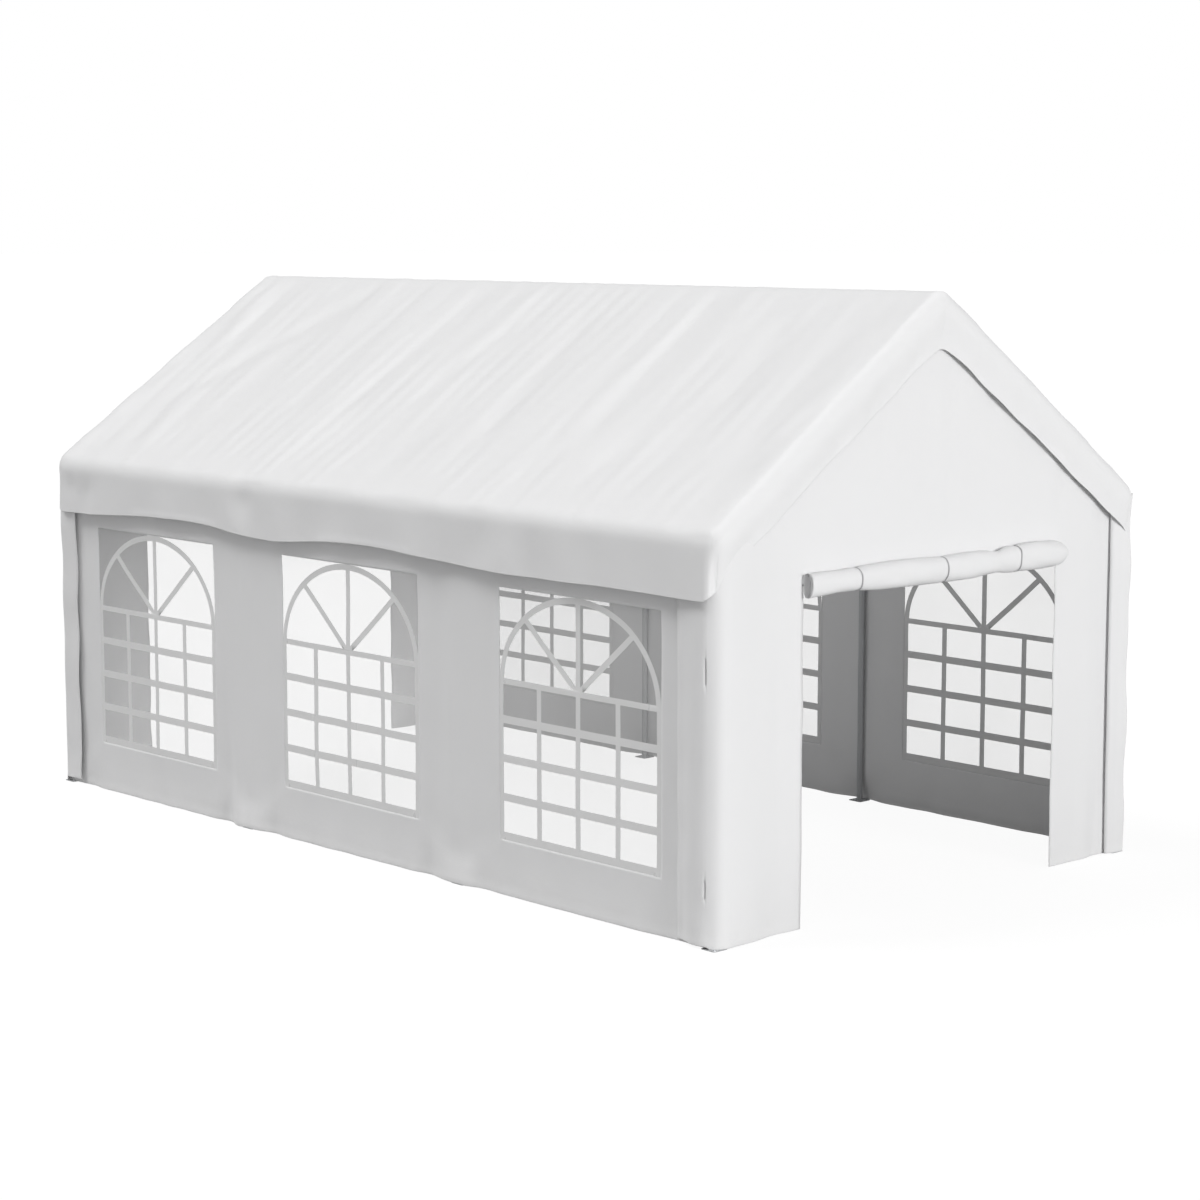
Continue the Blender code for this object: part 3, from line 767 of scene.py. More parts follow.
def arch_panes(window):
    """Outlines of the four panes in the arch, from the window's foot."""
    foot = WINDOW_HEIGHT - window.arch_height + window.top_bar / 2
    wide, high = WINDOW_WIDTH / 2, window.arch_height - window.top_bar / 2
    inner_wide, inner_high = wide - window.arch_width, high - window.arch_width
    rays = ((0.0, window.top_bar / 2), (window.spoke_angle, window.spoke / 2),
            (pi / 2, window.column_bar / 2))
    outlines = []
    for (angle_a, half_a), (angle_b, half_b) in zip(rays, rays[1:]):
        between = angle_b - angle_a
        hub = ray_crossing(angle_a, half_a, angle_b, -half_b)
        start = edge_angle(angle_a, half_a, inner_wide, inner_high)
        end = edge_angle(angle_b, -half_b, inner_wide, inner_high)
        steps = max(6, round(between / radians(4)))
        curve = []
        for i in range(steps + 1):
            angle = start + (end - start) * i / steps
            reach = arch_reach(angle, inner_wide, inner_high)
            curve.append((reach * cos(angle), reach * sin(angle)))
        outlines.append([hub, *curve])
    placed = []
    for outline in outlines:
        placed.append([(y, z + foot) for y, z in outline])
        placed.append([(-y, z + foot) for y, z in reversed(outline)])
    return placed


def ray_crossing(angle_a, offset_a, angle_b, offset_b):
    """Where two lines cross that run beside two rays, each shifted sideways by its offset."""
    a, b = Vector((cos(angle_a), sin(angle_a))), Vector((cos(angle_b), sin(angle_b)))
    start_a = Vector((-a.y, a.x)) * offset_a
    start_b = Vector((-b.y, b.x)) * offset_b
    cross = a.x * b.y - a.y * b.x
    between = start_b - start_a
    along = (between.x * b.y - between.y * b.x) / cross
    return tuple(start_a + a * along)


def edge_angle(angle, offset, wide, high):
    """Angle at which a line beside a ray meets the arch's curve."""
    found = angle
    for _ in range(12):
        found = angle + offset / arch_reach(found, wide, high)
    return found


def lower_panes(window):
    """Outlines of the panes under the arch, from the window's foot."""
    top = WINDOW_HEIGHT - window.arch_height
    clear = top - window.bottom_border - window.row_bar * (window.rows - 1)
    pane_height = clear / window.rows
    wide = WINDOW_WIDTH - 2 * window.side_border - window.column_bar * (window.columns - 1)
    pane_width = wide / window.columns
    outlines = []
    for row in range(window.rows):
        low = window.bottom_border + row * (pane_height + window.row_bar)
        for column in range(window.columns):
            left = -WINDOW_WIDTH / 2 + window.side_border + column * (pane_width + window.column_bar)
            right, high = left + pane_width, low + pane_height
            outlines.append([(left, low), (right, low), (right, high), (left, high)])
    return outlines


def bar_pattern(window):
    """The bars of one window as a thin plate with its panes left open, cut fine enough to bend."""
    half = WINDOW_WIDTH / 2 - 0.0002
    foot = WINDOW_HEIGHT - window.arch_height + window.top_bar / 2
    border = [(-half, 0.0002), (half, 0.0002)]
    for i in range(41):
        turn = pi * i / 40
        border.append((half * cos(turn), foot + (WINDOW_HEIGHT - 0.0002 - foot) * sin(turn)))
    curve = bpy.data.curves.new("window_bars", "CURVE")
    curve.dimensions = "2D"
    curve.fill_mode = "BOTH"
    curve.extrude = window.bar_proud
    for outline in [border, *lower_panes(window), *arch_panes(window)]:
        spline = curve.splines.new("POLY")
        spline.use_cyclic_u = True
        spline.points.add(len(outline) - 1)
        for slot, (y, z) in zip(spline.points, outline):
            slot.co = (y, z, 0.0, 1.0)
    drawn = bpy.data.objects.new("window_bars", curve)
    bpy.context.scene.collection.objects.link(drawn)
    depsgraph = bpy.context.evaluated_depsgraph_get()
    mesh = bpy.data.meshes.new_from_object(drawn.evaluated_get(depsgraph))
    bpy.data.objects.remove(drawn)
    form = bmesh.new()
    form.from_mesh(mesh)
    bmesh.ops.remove_doubles(form, verts=form.verts, dist=0.00005)
    for axis, start, end in ((0, -half, half), (1, 0.0, WINDOW_HEIGHT)):
        normal = Vector((1, 0, 0)) if axis == 0 else Vector((0, 1, 0))
        for place in cut_line([start, end], 0.07)[1:-1]:
            everything = list(form.verts) + list(form.edges) + list(form.faces)
            bmesh.ops.bisect_plane(form, geom=everything, plane_co=normal * place, plane_no=normal)
    bmesh.ops.recalc_face_normals(form, faces=form.faces)
    form.to_mesh(mesh)
    form.free()
    return smooth_by_angle(mesh)


# The rolled-up doors

ROLL_TIES = (-0.68, 0.01, 0.64)
WALL_FACE = abs(ROLL_HIGH.y)

# Half the roll's height at places along it, as the photo's upper and lower outlines give it
ROLL_SWELL = ((-1.065, 0.067), (-0.95, 0.066), (-0.83, 0.061), (-0.68, 0.066), (-0.50, 0.074), (-0.20, 0.077),
              (0.01, 0.076), (0.25, 0.077), (0.40, 0.068), (0.47, 0.064), (0.56, 0.075), (0.64, 0.078),
              (0.85, 0.083), (0.98, 0.078), (1.04, 0.066), (1.075, 0.046), (1.095, 0.018))
ROLL_GAP = 0.47


def roll_half_height(x, roll):
    """Half the roll's height: wrinkled, drawn in by the straps and running out at the right."""
    places, sizes = zip(*ROLL_SWELL)
    near = [np.interp(np.clip(x + shift, places[0], places[-1]), places, sizes) for shift in (-0.02, 0, 0.02)]
    pinch = sum(roll.tie_pinch * np.exp(-((x - tie) / 0.02) ** 2) for tie in ROLL_TIES)
    return (near[0] + 2 * near[1] + near[2]) / 4 * (1 - pinch)


def roll_section(x, turn, layer, roll):
    """How far a layer stands out from the wall and up from the roll's middle, at a turn round it.

    The layer is 0 for the innermost turn and 1 for the outermost one.
    """
    high = roll_half_height(x, roll)
    full = np.clip(high / 0.074, 0, 1.08)
    gap = np.exp(-((x - ROLL_GAP) / 0.05) ** 2)
    front = 0.003 + (0.053 * full - 0.003) * layer
    back = 0.003 + (0.033 * full - 0.003) * layer
    tall = 0.030 * full + (high - 0.030 * full) * layer
    wave = roll.wrinkle * (0.6 * np.sin(2 * turn + 7.0 * x + 1.0) + 0.5 * np.sin(3 * turn - 11.0 * x)
                           + 0.3 * np.sin(5 * turn + 23.0 * x + 2.0)) * layer ** 3
    across, up = np.cos(turn), np.sin(turn)
    out = np.where(across > 0, front * across * (1 + wave), back * np.sign(across) * np.abs(across) ** 0.6)
    rise = tall * np.sign(up) * np.abs(up) ** 0.88 * (1 + 0.5 * wave)
    rise -= 0.010 * gap * layer * np.clip(up, 0, 1)
    return 0.034 + out + 0.012 * gap * np.clip(up, 0, 1) * layer, rise - 0.004 * np.sin((x + 0.3) * 4.4)


def build_roll(name, sign, roll):
    """A doorway's cloth wound up into a flat roll, with its last stretch hidden behind it."""
    steps = 32
    stations = cut_line([ROLL_LOW.x + 0.001, *ROLL_TIES, 0.96], 0.02)
    stations += [0.96 + 0.135 * sin(pi / 2 * i / 11) for i in range(1, 12)]
    form = bmesh.new()
    rows = []
    count = roll.turns * steps
    for i in range(count + 1):
        line = []
        for x in stations:
            out, up = roll_section(x, 2 * pi * i / steps + pi, i / count, roll)
            open_end = (0.026 * (1 - i / count) + 0.001 * sin(i * 0.3)) * max(0.0, 1 - (x - ROLL_LOW.x) / 0.06)
            line.append((x + open_end + 0.004, -(WALL_FACE + out), ROLL_HEIGHT + up))
        rows.append(line)
    for part in (0.3, 0.6, 1.0):
        rows.append([(x, y + (-WALL_FACE - 0.0008 - y) * part, z + 0.75 * part * roll_half_height(x, roll))
                     for x, y, z in rows[count]])
    patch(form, rows)
    mesh = finished(form, name, merge=0.00001)
    if sign > 0:
        mesh.transform(Matrix.Rotation(pi, 4, "Z"))
    return mesh


def build_tie(name, tie, sign, roll):
    """A flat strap drawn round a roll."""
    half = roll.tie_width / 2
    form = bmesh.new()
    rows = []
    for i in range(65):
        turn = 2 * pi * i / 64
        line = []
        for offset in (-half, -half * 0.4, half * 0.4, half):
            out, up = roll_section(tie + offset, turn, 1.0, roll)
            centre = out - 0.034
            line.append((tie + offset + 0.004, -(WALL_FACE + 0.034 + centre * 1.025), ROLL_HEIGHT + up * 1.018))
        rows.append(line)
    patch(form, rows)
    mesh = finished(form, name)
    if sign > 0:
        mesh.transform(Matrix.Rotation(pi, 4, "Z"))
    return mesh


# The steel frame


def sweep(form, line, radius, sides, cap=True):
    """A round bar along a line of places, drawn into a form; radius may be a list."""
    line = [Vector(place) for place in line]
    radii = radius if isinstance(radius, (list, tuple)) else [radius] * len(line)
    ahead = (line[1] - line[0]).normalized()
    across = ahead.orthogonal().normalized()
    rings = []
    for i, place in enumerate(line):
        before = line[max(0, i - 1)]
        after = line[min(len(line) - 1, i + 1)]
        new_ahead = (after - before).normalized()
        across = (across - new_ahead * across.dot(new_ahead)).normalized()
        other = new_ahead.cross(across)
        ring = []
        for j in range(sides):
            turn = 2 * pi * j / sides
            ring.append(form.verts.new(place + (across * cos(turn) + other * sin(turn)) * radii[i]))
        rings.append(ring)
    for one, two in zip(rings, rings[1:]):
        for j in range(sides):
            form.faces.new((one[j], one[(j + 1) % sides], two[(j + 1) % sides], two[j]))
    if cap:
        form.faces.new(list(reversed(rings[0])))
        form.faces.new(rings[-1])


def bent_line(start, corner, end, radius, steps=10):
    """A line of places from start to end, turned round the corner with a radius."""
    start, corner, end = Vector(start), Vector(corner), Vector(end)
    one, two = (start - corner).normalized(), (end - corner).normalized()
    half = one.angle(two) / 2
    centre = corner + (one + two).normalized() * (radius / sin(half))
    first = corner + one * (radius / tan(half)) - centre
    last = corner + two * (radius / tan(half)) - centre
    arc = [centre + first.slerp(last, i / steps).normalized() * radius for i in range(steps + 1)]
    return [start, *arc, end]


def lipped(start, end, radius, lip):
    """A straight sleeve's line and radii, with a rolled lip at its end."""
    start, end = Vector(start), Vector(end)
    back = (start - end).normalized()
    stops = ((0.012, 0.0), (0.010, 0.6), (0.007, 1.0), (0.003, 1.0), (0.0, 0.3))
    line = [start] + [end + back * gap for gap, _ in stops]
    radii = [radius] + [radius + lip * part for _, part in stops]
    return line, radii


def united(name, meshes):
    """Several closed meshes joined into one body."""
    base = bpy.data.objects.new(name, meshes[0])
    bpy.context.scene.collection.objects.link(base)
    others = []
    for mesh in meshes[1:]:
        other = bpy.data.objects.new(f"{name}_part", mesh)
        bpy.context.scene.collection.objects.link(other)
        step = base.modifiers.new("Join", "BOOLEAN")
        step.operation = "UNION"
        step.solver = "EXACT"
        step.object = other
        others.append(other)
    depsgraph = bpy.context.evaluated_depsgraph_get()
    made = bpy.data.meshes.new_from_object(base.evaluated_get(depsgraph))
    for obj in (base, *others):
        bpy.data.objects.remove(obj)
    made.name = name
    return smooth_by_angle(made, 40)


def bar_mesh(name, line, radius, sides):
    """A closed round bar as a mesh."""
    form = bmesh.new()
    sweep(form, line, radius, sides)
    bmesh.ops.recalc_face_normals(form, faces=form.faces)
    mesh = bpy.data.meshes.new(name)
    form.to_mesh(mesh)
    form.free()
    return smooth_by_angle(mesh, 40)


def plate_mesh(name, size, thickness, hole, inset):
    """A foot plate with rounded corners and a hole near each of them."""
    corner = 0.010
    half = size / 2
    outline = []
    for number, (sx, sy) in enumerate(((1, 1), (-1, 1), (-1, -1), (1, -1))):
        for i in range(6):
            turn = pi / 2 * (number + i / 5)
            outline.append((sx * (half - corner) + corner * cos(turn), sy * (half - corner) + corner * sin(turn)))
    curve = bpy.data.curves.new(name, "CURVE")
    curve.dimensions = "2D"
    curve.fill_mode = "BOTH"
    curve.extrude = thickness / 2
    circles = []
    for sx in (-1, 1):
        for sy in (-1, 1):
            circles.append([(sx * inset + hole * cos(2 * pi * i / 20), sy * inset + hole * sin(2 * pi * i / 20))
                            for i in range(20)])
    for ring in [outline, *circles]:
        spline = curve.splines.new("POLY")
        spline.use_cyclic_u = True
        spline.points.add(len(ring) - 1)
        for slot, (x, y) in zip(spline.points, ring):
            slot.co = (x, y, thickness / 2, 1.0)
    drawn = bpy.data.objects.new(name, curve)
    bpy.context.scene.collection.objects.link(drawn)
    depsgraph = bpy.context.evaluated_depsgraph_get()
    mesh = bpy.data.meshes.new_from_object(drawn.evaluated_get(depsgraph))
    bpy.data.objects.remove(drawn)
    form = bmesh.new()
    form.from_mesh(mesh)
    bmesh.ops.remove_doubles(form, verts=form.verts, dist=0.00005)
    bmesh.ops.recalc_face_normals(form, faces=form.faces)
    form.to_mesh(mesh)
    form.free()
    return smooth_by_angle(mesh)


def bolt_mesh(name, radius, ahead):
    """A hexagon bolt's head on its washer, pointing ahead from the origin."""
    form = bmesh.new()
    bmesh.ops.create_cone(form, cap_ends=True, segments=20, radius1=radius * 1.35, radius2=radius * 1.30,
                          depth=0.0014, matrix=Matrix.Translation((0, 0, 0.0007)))
    bmesh.ops.create_cone(form, cap_ends=True, segments=6, radius1=radius, radius2=radius,
                          depth=0.0045, matrix=Matrix.Translation((0, 0, 0.00365)))
    top = [edge for edge in form.edges if all(v.co.z > 0.0055 for v in edge.verts)]
    bmesh.ops.bevel(form, geom=top, offset=0.0008, segments=2, affect="EDGES")
    mesh = bpy.data.meshes.new(name)
    form.to_mesh(mesh)
    form.free()
    mesh.transform(Vector((0, 0, 1)).rotation_difference(Vector(ahead)).to_matrix().to_4x4())
    return smooth_by_angle(mesh)


def joined(name, meshes, places):
    """Copies of meshes at places, as one mesh."""
    form = bmesh.new()
    for mesh, place in zip(meshes, places):
        copy = mesh.copy()
        copy.transform(Matrix.Translation(place))
        form.from_mesh(copy)
        bpy.data.meshes.remove(copy)
    made = bpy.data.meshes.new(name)
    form.to_mesh(made)
    form.free()
    return smooth_by_angle(made, 40)


# Materials


def new_group(name, inputs, outputs):
    """A shader node group with named inputs and outputs, and its two end nodes."""
    group = bpy.data.node_groups.new(name, "ShaderNodeTree")
    for label, kind, value in inputs:
        socket = group.interface.new_socket(name=label, in_out="INPUT", socket_type=kind)
        socket.default_value = value
    for label, kind in outputs:
        group.interface.new_socket(name=label, in_out="OUTPUT", socket_type=kind)
    return group, group.nodes.new("NodeGroupInput"), group.nodes.new("NodeGroupOutput")


def add_node(tree, kind, inputs=None, **options):
    """A node with its options and input values set."""
    made = tree.nodes.new(kind)
    for key, value in options.items():
        setattr(made, key, value)
    for key, value in (inputs or {}).items():
        made.inputs[key].default_value = value
    return made


def math(tree, operation, first, second=None):
    """A math node fed by sockets or numbers."""
    made = tree.nodes.new("ShaderNodeMath")
    made.operation = operation
    for slot, value in zip(made.inputs, (first, second)):
        if isinstance(value, bpy.types.NodeSocket):
            tree.links.new(value, slot)
        elif value is not None:
            slot.default_value = value
    return made.outputs[0]


FLOAT, COLOUR = "NodeSocketFloat", "NodeSocketColor"


def weave_group():
    """Woven tape under a coating: fine weave, crumples and soft creases, as a height and a tone."""
    group, start, end = new_group(
        "Coated Weave",
        (("Thread Spacing", FLOAT, 0.0024), ("Weave Depth", FLOAT, 0.00004),
         ("Crumple Size", FLOAT, 0.10), ("Crumple Depth", FLOAT, 0.0006),
         ("Crease Depth", FLOAT, 0.0004), ("Tone Change", FLOAT, 0.03)),
        (("Height", FLOAT), ("Tone", FLOAT)))
    links = group.links
    coordinates = add_node(group, "ShaderNodeTexCoord")
    split = add_node(group, "ShaderNodeSeparateXYZ")
    links.new(coordinates.outputs["Object"], split.inputs[0])
    waves = []
    turns = math(group, "DIVIDE", 2 * pi, start.outputs["Thread Spacing"])
    for axis in split.outputs:
        waves.append(math(group, "SINE", math(group, "MULTIPLY", axis, turns)))
    threads = math(group, "ADD", math(group, "ADD", waves[0], waves[1]), waves[2])
    weave = math(group, "MULTIPLY", threads, start.outputs["Weave Depth"])
    crumple = add_node(group, "ShaderNodeTexNoise", {"Detail": 5.0, "Roughness": 0.55})
    links.new(coordinates.outputs["Object"], crumple.inputs["Vector"])
    links.new(math(group, "DIVIDE", 1.0, start.outputs["Crumple Size"]), crumple.inputs["Scale"])
    crumpled = math(group, "MULTIPLY", crumple.outputs["Fac"], start.outputs["Crumple Depth"])
    cells = add_node(group, "ShaderNodeTexVoronoi", {"Randomness": 1.0}, feature="DISTANCE_TO_EDGE")
    bend = add_node(group, "ShaderNodeMixRGB", {"Fac": 0.12})
    links.new(coordinates.outputs["Object"], bend.inputs["Color1"])
    links.new(crumple.outputs["Color"], bend.inputs["Color2"])
    links.new(bend.outputs["Color"], cells.inputs["Vector"])
    links.new(math(group, "DIVIDE", 0.35, start.outputs["Crumple Size"]), cells.inputs["Scale"])
    edge = math(group, "MINIMUM", cells.outputs["Distance"], 0.12)
    creased = math(group, "MULTIPLY", math(group, "DIVIDE", edge, 0.12), start.outputs["Crease Depth"])
    height = math(group, "ADD", math(group, "ADD", weave, crumpled), creased)
    links.new(height, end.inputs["Height"])
    broad = add_node(group, "ShaderNodeTexNoise", {"Scale": 1.6, "Detail": 3.0})
    links.new(coordinates.outputs["Object"], broad.inputs["Vector"])
    swing = math(group, "SUBTRACT", broad.outputs["Fac"], 0.5)
    links.new(math(group, "MULTIPLY", swing, start.outputs["Tone Change"]), end.inputs["Tone"])
    return group


def dust_group():
    """Faint dust that gathers near the ground, as a colour over the cloth's own and a roughness."""
    group, start, end = new_group(
        "Ground Dust",
        (("Base Colour", COLOUR, (0.8, 0.8, 0.8, 1)), ("Tone", FLOAT, 0.0),
         ("Dust Colour", COLOUR, (0.5, 0.47, 0.42, 1)), ("Amount", FLOAT, 0.1),
         ("Reach", FLOAT, 0.35), ("Roughness", FLOAT, 0.5)),
        (("Colour", COLOUR), ("Roughness", FLOAT)))
    links = group.links
    coordinates = add_node(group, "ShaderNodeTexCoord")
    split = add_node(group, "ShaderNodeSeparateXYZ")
    links.new(coordinates.outputs["Object"], split.inputs[0])
    height = math(group, "DIVIDE", split.outputs["Z"], start.outputs["Reach"])
    low = math(group, "EXPONENT", math(group, "MULTIPLY", height, -3.0))
    speckle = add_node(group, "ShaderNodeTexNoise", {"Scale": 14.0, "Detail": 8.0, "Roughness": 0.65})
    links.new(coordinates.outputs["Object"], speckle.inputs["Vector"])
    spread = math(group, "MULTIPLY", math(group, "ADD", low, 0.10), speckle.outputs["Fac"])
    mask = math(group, "MINIMUM", math(group, "MULTIPLY", spread, start.outputs["Amount"]), 1.0)
    bright = math(group, "ADD", 1.0, start.outputs["Tone"])
    toned = add_node(group, "ShaderNodeVectorMath", operation="SCALE")
    links.new(start.outputs["Base Colour"], toned.inputs[0])
    links.new(bright, toned.inputs["Scale"])
    mix = add_node(group, "ShaderNodeMixRGB")
    links.new(mask, mix.inputs["Fac"])
    links.new(toned.outputs[0], mix.inputs["Color1"])
    links.new(start.outputs["Dust Colour"], mix.inputs["Color2"])
    links.new(mix.outputs["Color"], end.inputs["Colour"])
    rough = math(group, "ADD", start.outputs["Roughness"], math(group, "MULTIPLY", mask, 0.4))
    links.new(rough, end.inputs["Roughness"])
    return group


def paint_group():
    """Sprayed paint on steel: a faint orange-peel height, a tone and worn flecks."""
    group, start, end = new_group(
        "Sprayed Paint",
        (("Colour", COLOUR, (0.5, 0.5, 0.5, 1)), ("Worn Colour", COLOUR, (0.35, 0.33, 0.3, 1)),
         ("Wear", FLOAT, 0.15), ("Grain Size", FLOAT, 0.004), ("Grain Depth", FLOAT, 0.00005),
         ("Roughness", FLOAT, 0.4)),
        (("Colour", COLOUR), ("Roughness", FLOAT), ("Height", FLOAT)))
    links = group.links
    coordinates = add_node(group, "ShaderNodeTexCoord")
    grain = add_node(group, "ShaderNodeTexNoise", {"Detail": 2.0})
    links.new(coordinates.outputs["Object"], grain.inputs["Vector"])
    links.new(math(group, "DIVIDE", 1.0, start.outputs["Grain Size"]), grain.inputs["Scale"])
    links.new(math(group, "MULTIPLY", grain.outputs["Fac"], start.outputs["Grain Depth"]),
              end.inputs["Height"])
    flecks = add_node(group, "ShaderNodeTexNoise", {"Scale": 60.0, "Detail": 6.0, "Roughness": 0.7})
    links.new(coordinates.outputs["Object"], flecks.inputs["Vector"])
    sharp = math(group, "MULTIPLY", math(group, "SUBTRACT", flecks.outputs["Fac"], 0.62), 12.0)
    worn = add_node(group, "ShaderNodeClamp")
    links.new(math(group, "MULTIPLY", sharp, start.outputs["Wear"]), worn.inputs["Value"])
    mix = add_node(group, "ShaderNodeMixRGB")
    links.new(worn.outputs[0], mix.inputs["Fac"])
    links.new(start.outputs["Colour"], mix.inputs["Color1"])
    links.new(start.outputs["Worn Colour"], mix.inputs["Color2"])
    links.new(mix.outputs["Color"], end.inputs["Colour"])
    smudge = math(group, "MULTIPLY", math(group, "SUBTRACT", flecks.outputs["Fac"], 0.5), 0.25)
    links.new(math(group, "ADD", start.outputs["Roughness"], smudge), end.inputs["Roughness"])
    return group


def shared_group(name, maker):
    """A node group, made the first time it is asked for."""
    return bpy.data.node_groups.get(name) or maker()


def new_material(name, **shader_values):
    """A material, its tree and its shader with the given values."""
    made = bpy.data.materials.new(name)
    made.use_nodes = True
    tree = made.node_tree
    shader = tree.nodes["Principled BSDF"]
    for key, value in shader_values.items():
        shader.inputs[key.replace("_", " ")].default_value = value
    return made, tree, shader


def place_group(tree, group, values):
    """A node group placed in a material with its own values."""
    made = tree.nodes.new("ShaderNodeGroup")
    made.node_tree = group
    for key, value in values.items():
        made.inputs[key].default_value = value
    return made


def add_bump(tree, shader, height):
    """Feed a height in metres to the shader's normal."""
    bump = add_node(tree, "ShaderNodeBump", {"Strength": 1.0, "Distance": 1.0})
    tree.links.new(height, bump.inputs["Height"])
    tree.links.new(bump.outputs["Normal"], shader.inputs["Normal"])


def cloth_material(name, base, finish, weave, roughness):
    """White coated cloth with its weave, crumples and faint dust."""
    made, tree, shader = new_material(name, Roughness=roughness, Specular_IOR_Level=0.30,
                                      Sheen_Weight=0.05, Sheen_Roughness=0.5)
    woven = place_group(tree, shared_group("Coated Weave", weave_group), weave)
    dust = place_group(tree, shared_group("Ground Dust", dust_group),
                       {"Base Colour": (*base, 1), "Dust Colour": (*finish.soil, 1),
                        "Amount": finish.soiling, "Roughness": roughness})
    tree.links.new(woven.outputs["Tone"], dust.inputs["Tone"])
    tree.links.new(dust.outputs["Colour"], shader.inputs["Base Color"])
    tree.links.new(dust.outputs["Roughness"], shader.inputs["Roughness"])
    add_bump(tree, shader, woven.outputs["Height"])
    return made


def film_material(finish):
    """Clear film: mostly see-through, glossy, with a faint haze."""
    made, tree, shader = new_material("Clear Film", Base_Color=(*finish.film_tint, 1), Roughness=0.12,
                                      Specular_IOR_Level=0.5)
    woven = place_group(tree, shared_group("Coated Weave", weave_group),
                        {"Weave Depth": 0.0, "Crumple Size": 0.22, "Crumple Depth": 0.0010,
                         "Crease Depth": 0.0003, "Tone Change": 0.08})
    veil = math(tree, "ADD", finish.film_veil, woven.outputs["Tone"])
    tree.links.new(veil, shader.inputs["Alpha"])
    add_bump(tree, shader, woven.outputs["Height"])
    return made


def steel_material(name, base, finish, metallic, roughness, wear):
    """Painted or zinc-plated steel."""
    made, tree, shader = new_material(name, Metallic=metallic, Roughness=roughness)
    paint = place_group(tree, shared_group("Sprayed Paint", paint_group),
                        {"Colour": (*base, 1), "Worn Colour": (*finish.zinc, 1), "Wear": wear,
                         "Roughness": roughness})
    tree.links.new(paint.outputs["Colour"], shader.inputs["Base Color"])
    tree.links.new(paint.outputs["Roughness"], shader.inputs["Roughness"])
    add_bump(tree, shader, paint.outputs["Height"])
    return made


def finish_of(name):
    """One of the tent's materials, made the first time it is asked for."""
    found = bpy.data.materials.get(name)
    if found:
        return found
    finish = bpy.context.scene.tent_finish
    makers = {
        "Roof Cloth": lambda: cloth_material(
            name, finish.roof_white, finish, {"Crumple Depth": 0.0007, "Crease Depth": 0.0003}, 0.50),
        "Wall Cloth": lambda: cloth_material(
            name, finish.wall_white, finish, {"Crumple Depth": 0.0005, "Crease Depth": 0.0002}, 0.52),
        "Window Bars": lambda: cloth_material(
            name, finish.bar_grey, finish, {"Weave Depth": 0.00001, "Crumple Depth": 0.0002}, 0.40),
        "Tie Webbing": lambda: cloth_material(
            name, finish.tie_grey, finish, {"Thread Spacing": 0.0016, "Weave Depth": 0.0001}, 0.75),
        "Clear Film": lambda: film_material(finish),
        "Painted Steel": lambda: steel_material(name, finish.steel_grey, finish, 0.15, 0.40, 0.10),
        "Zinc Bolt": lambda: steel_material(name, finish.zinc, finish, 0.85, 0.35, 0.25),
    }
    return makers[name]()


# The operators, one for each group of pieces


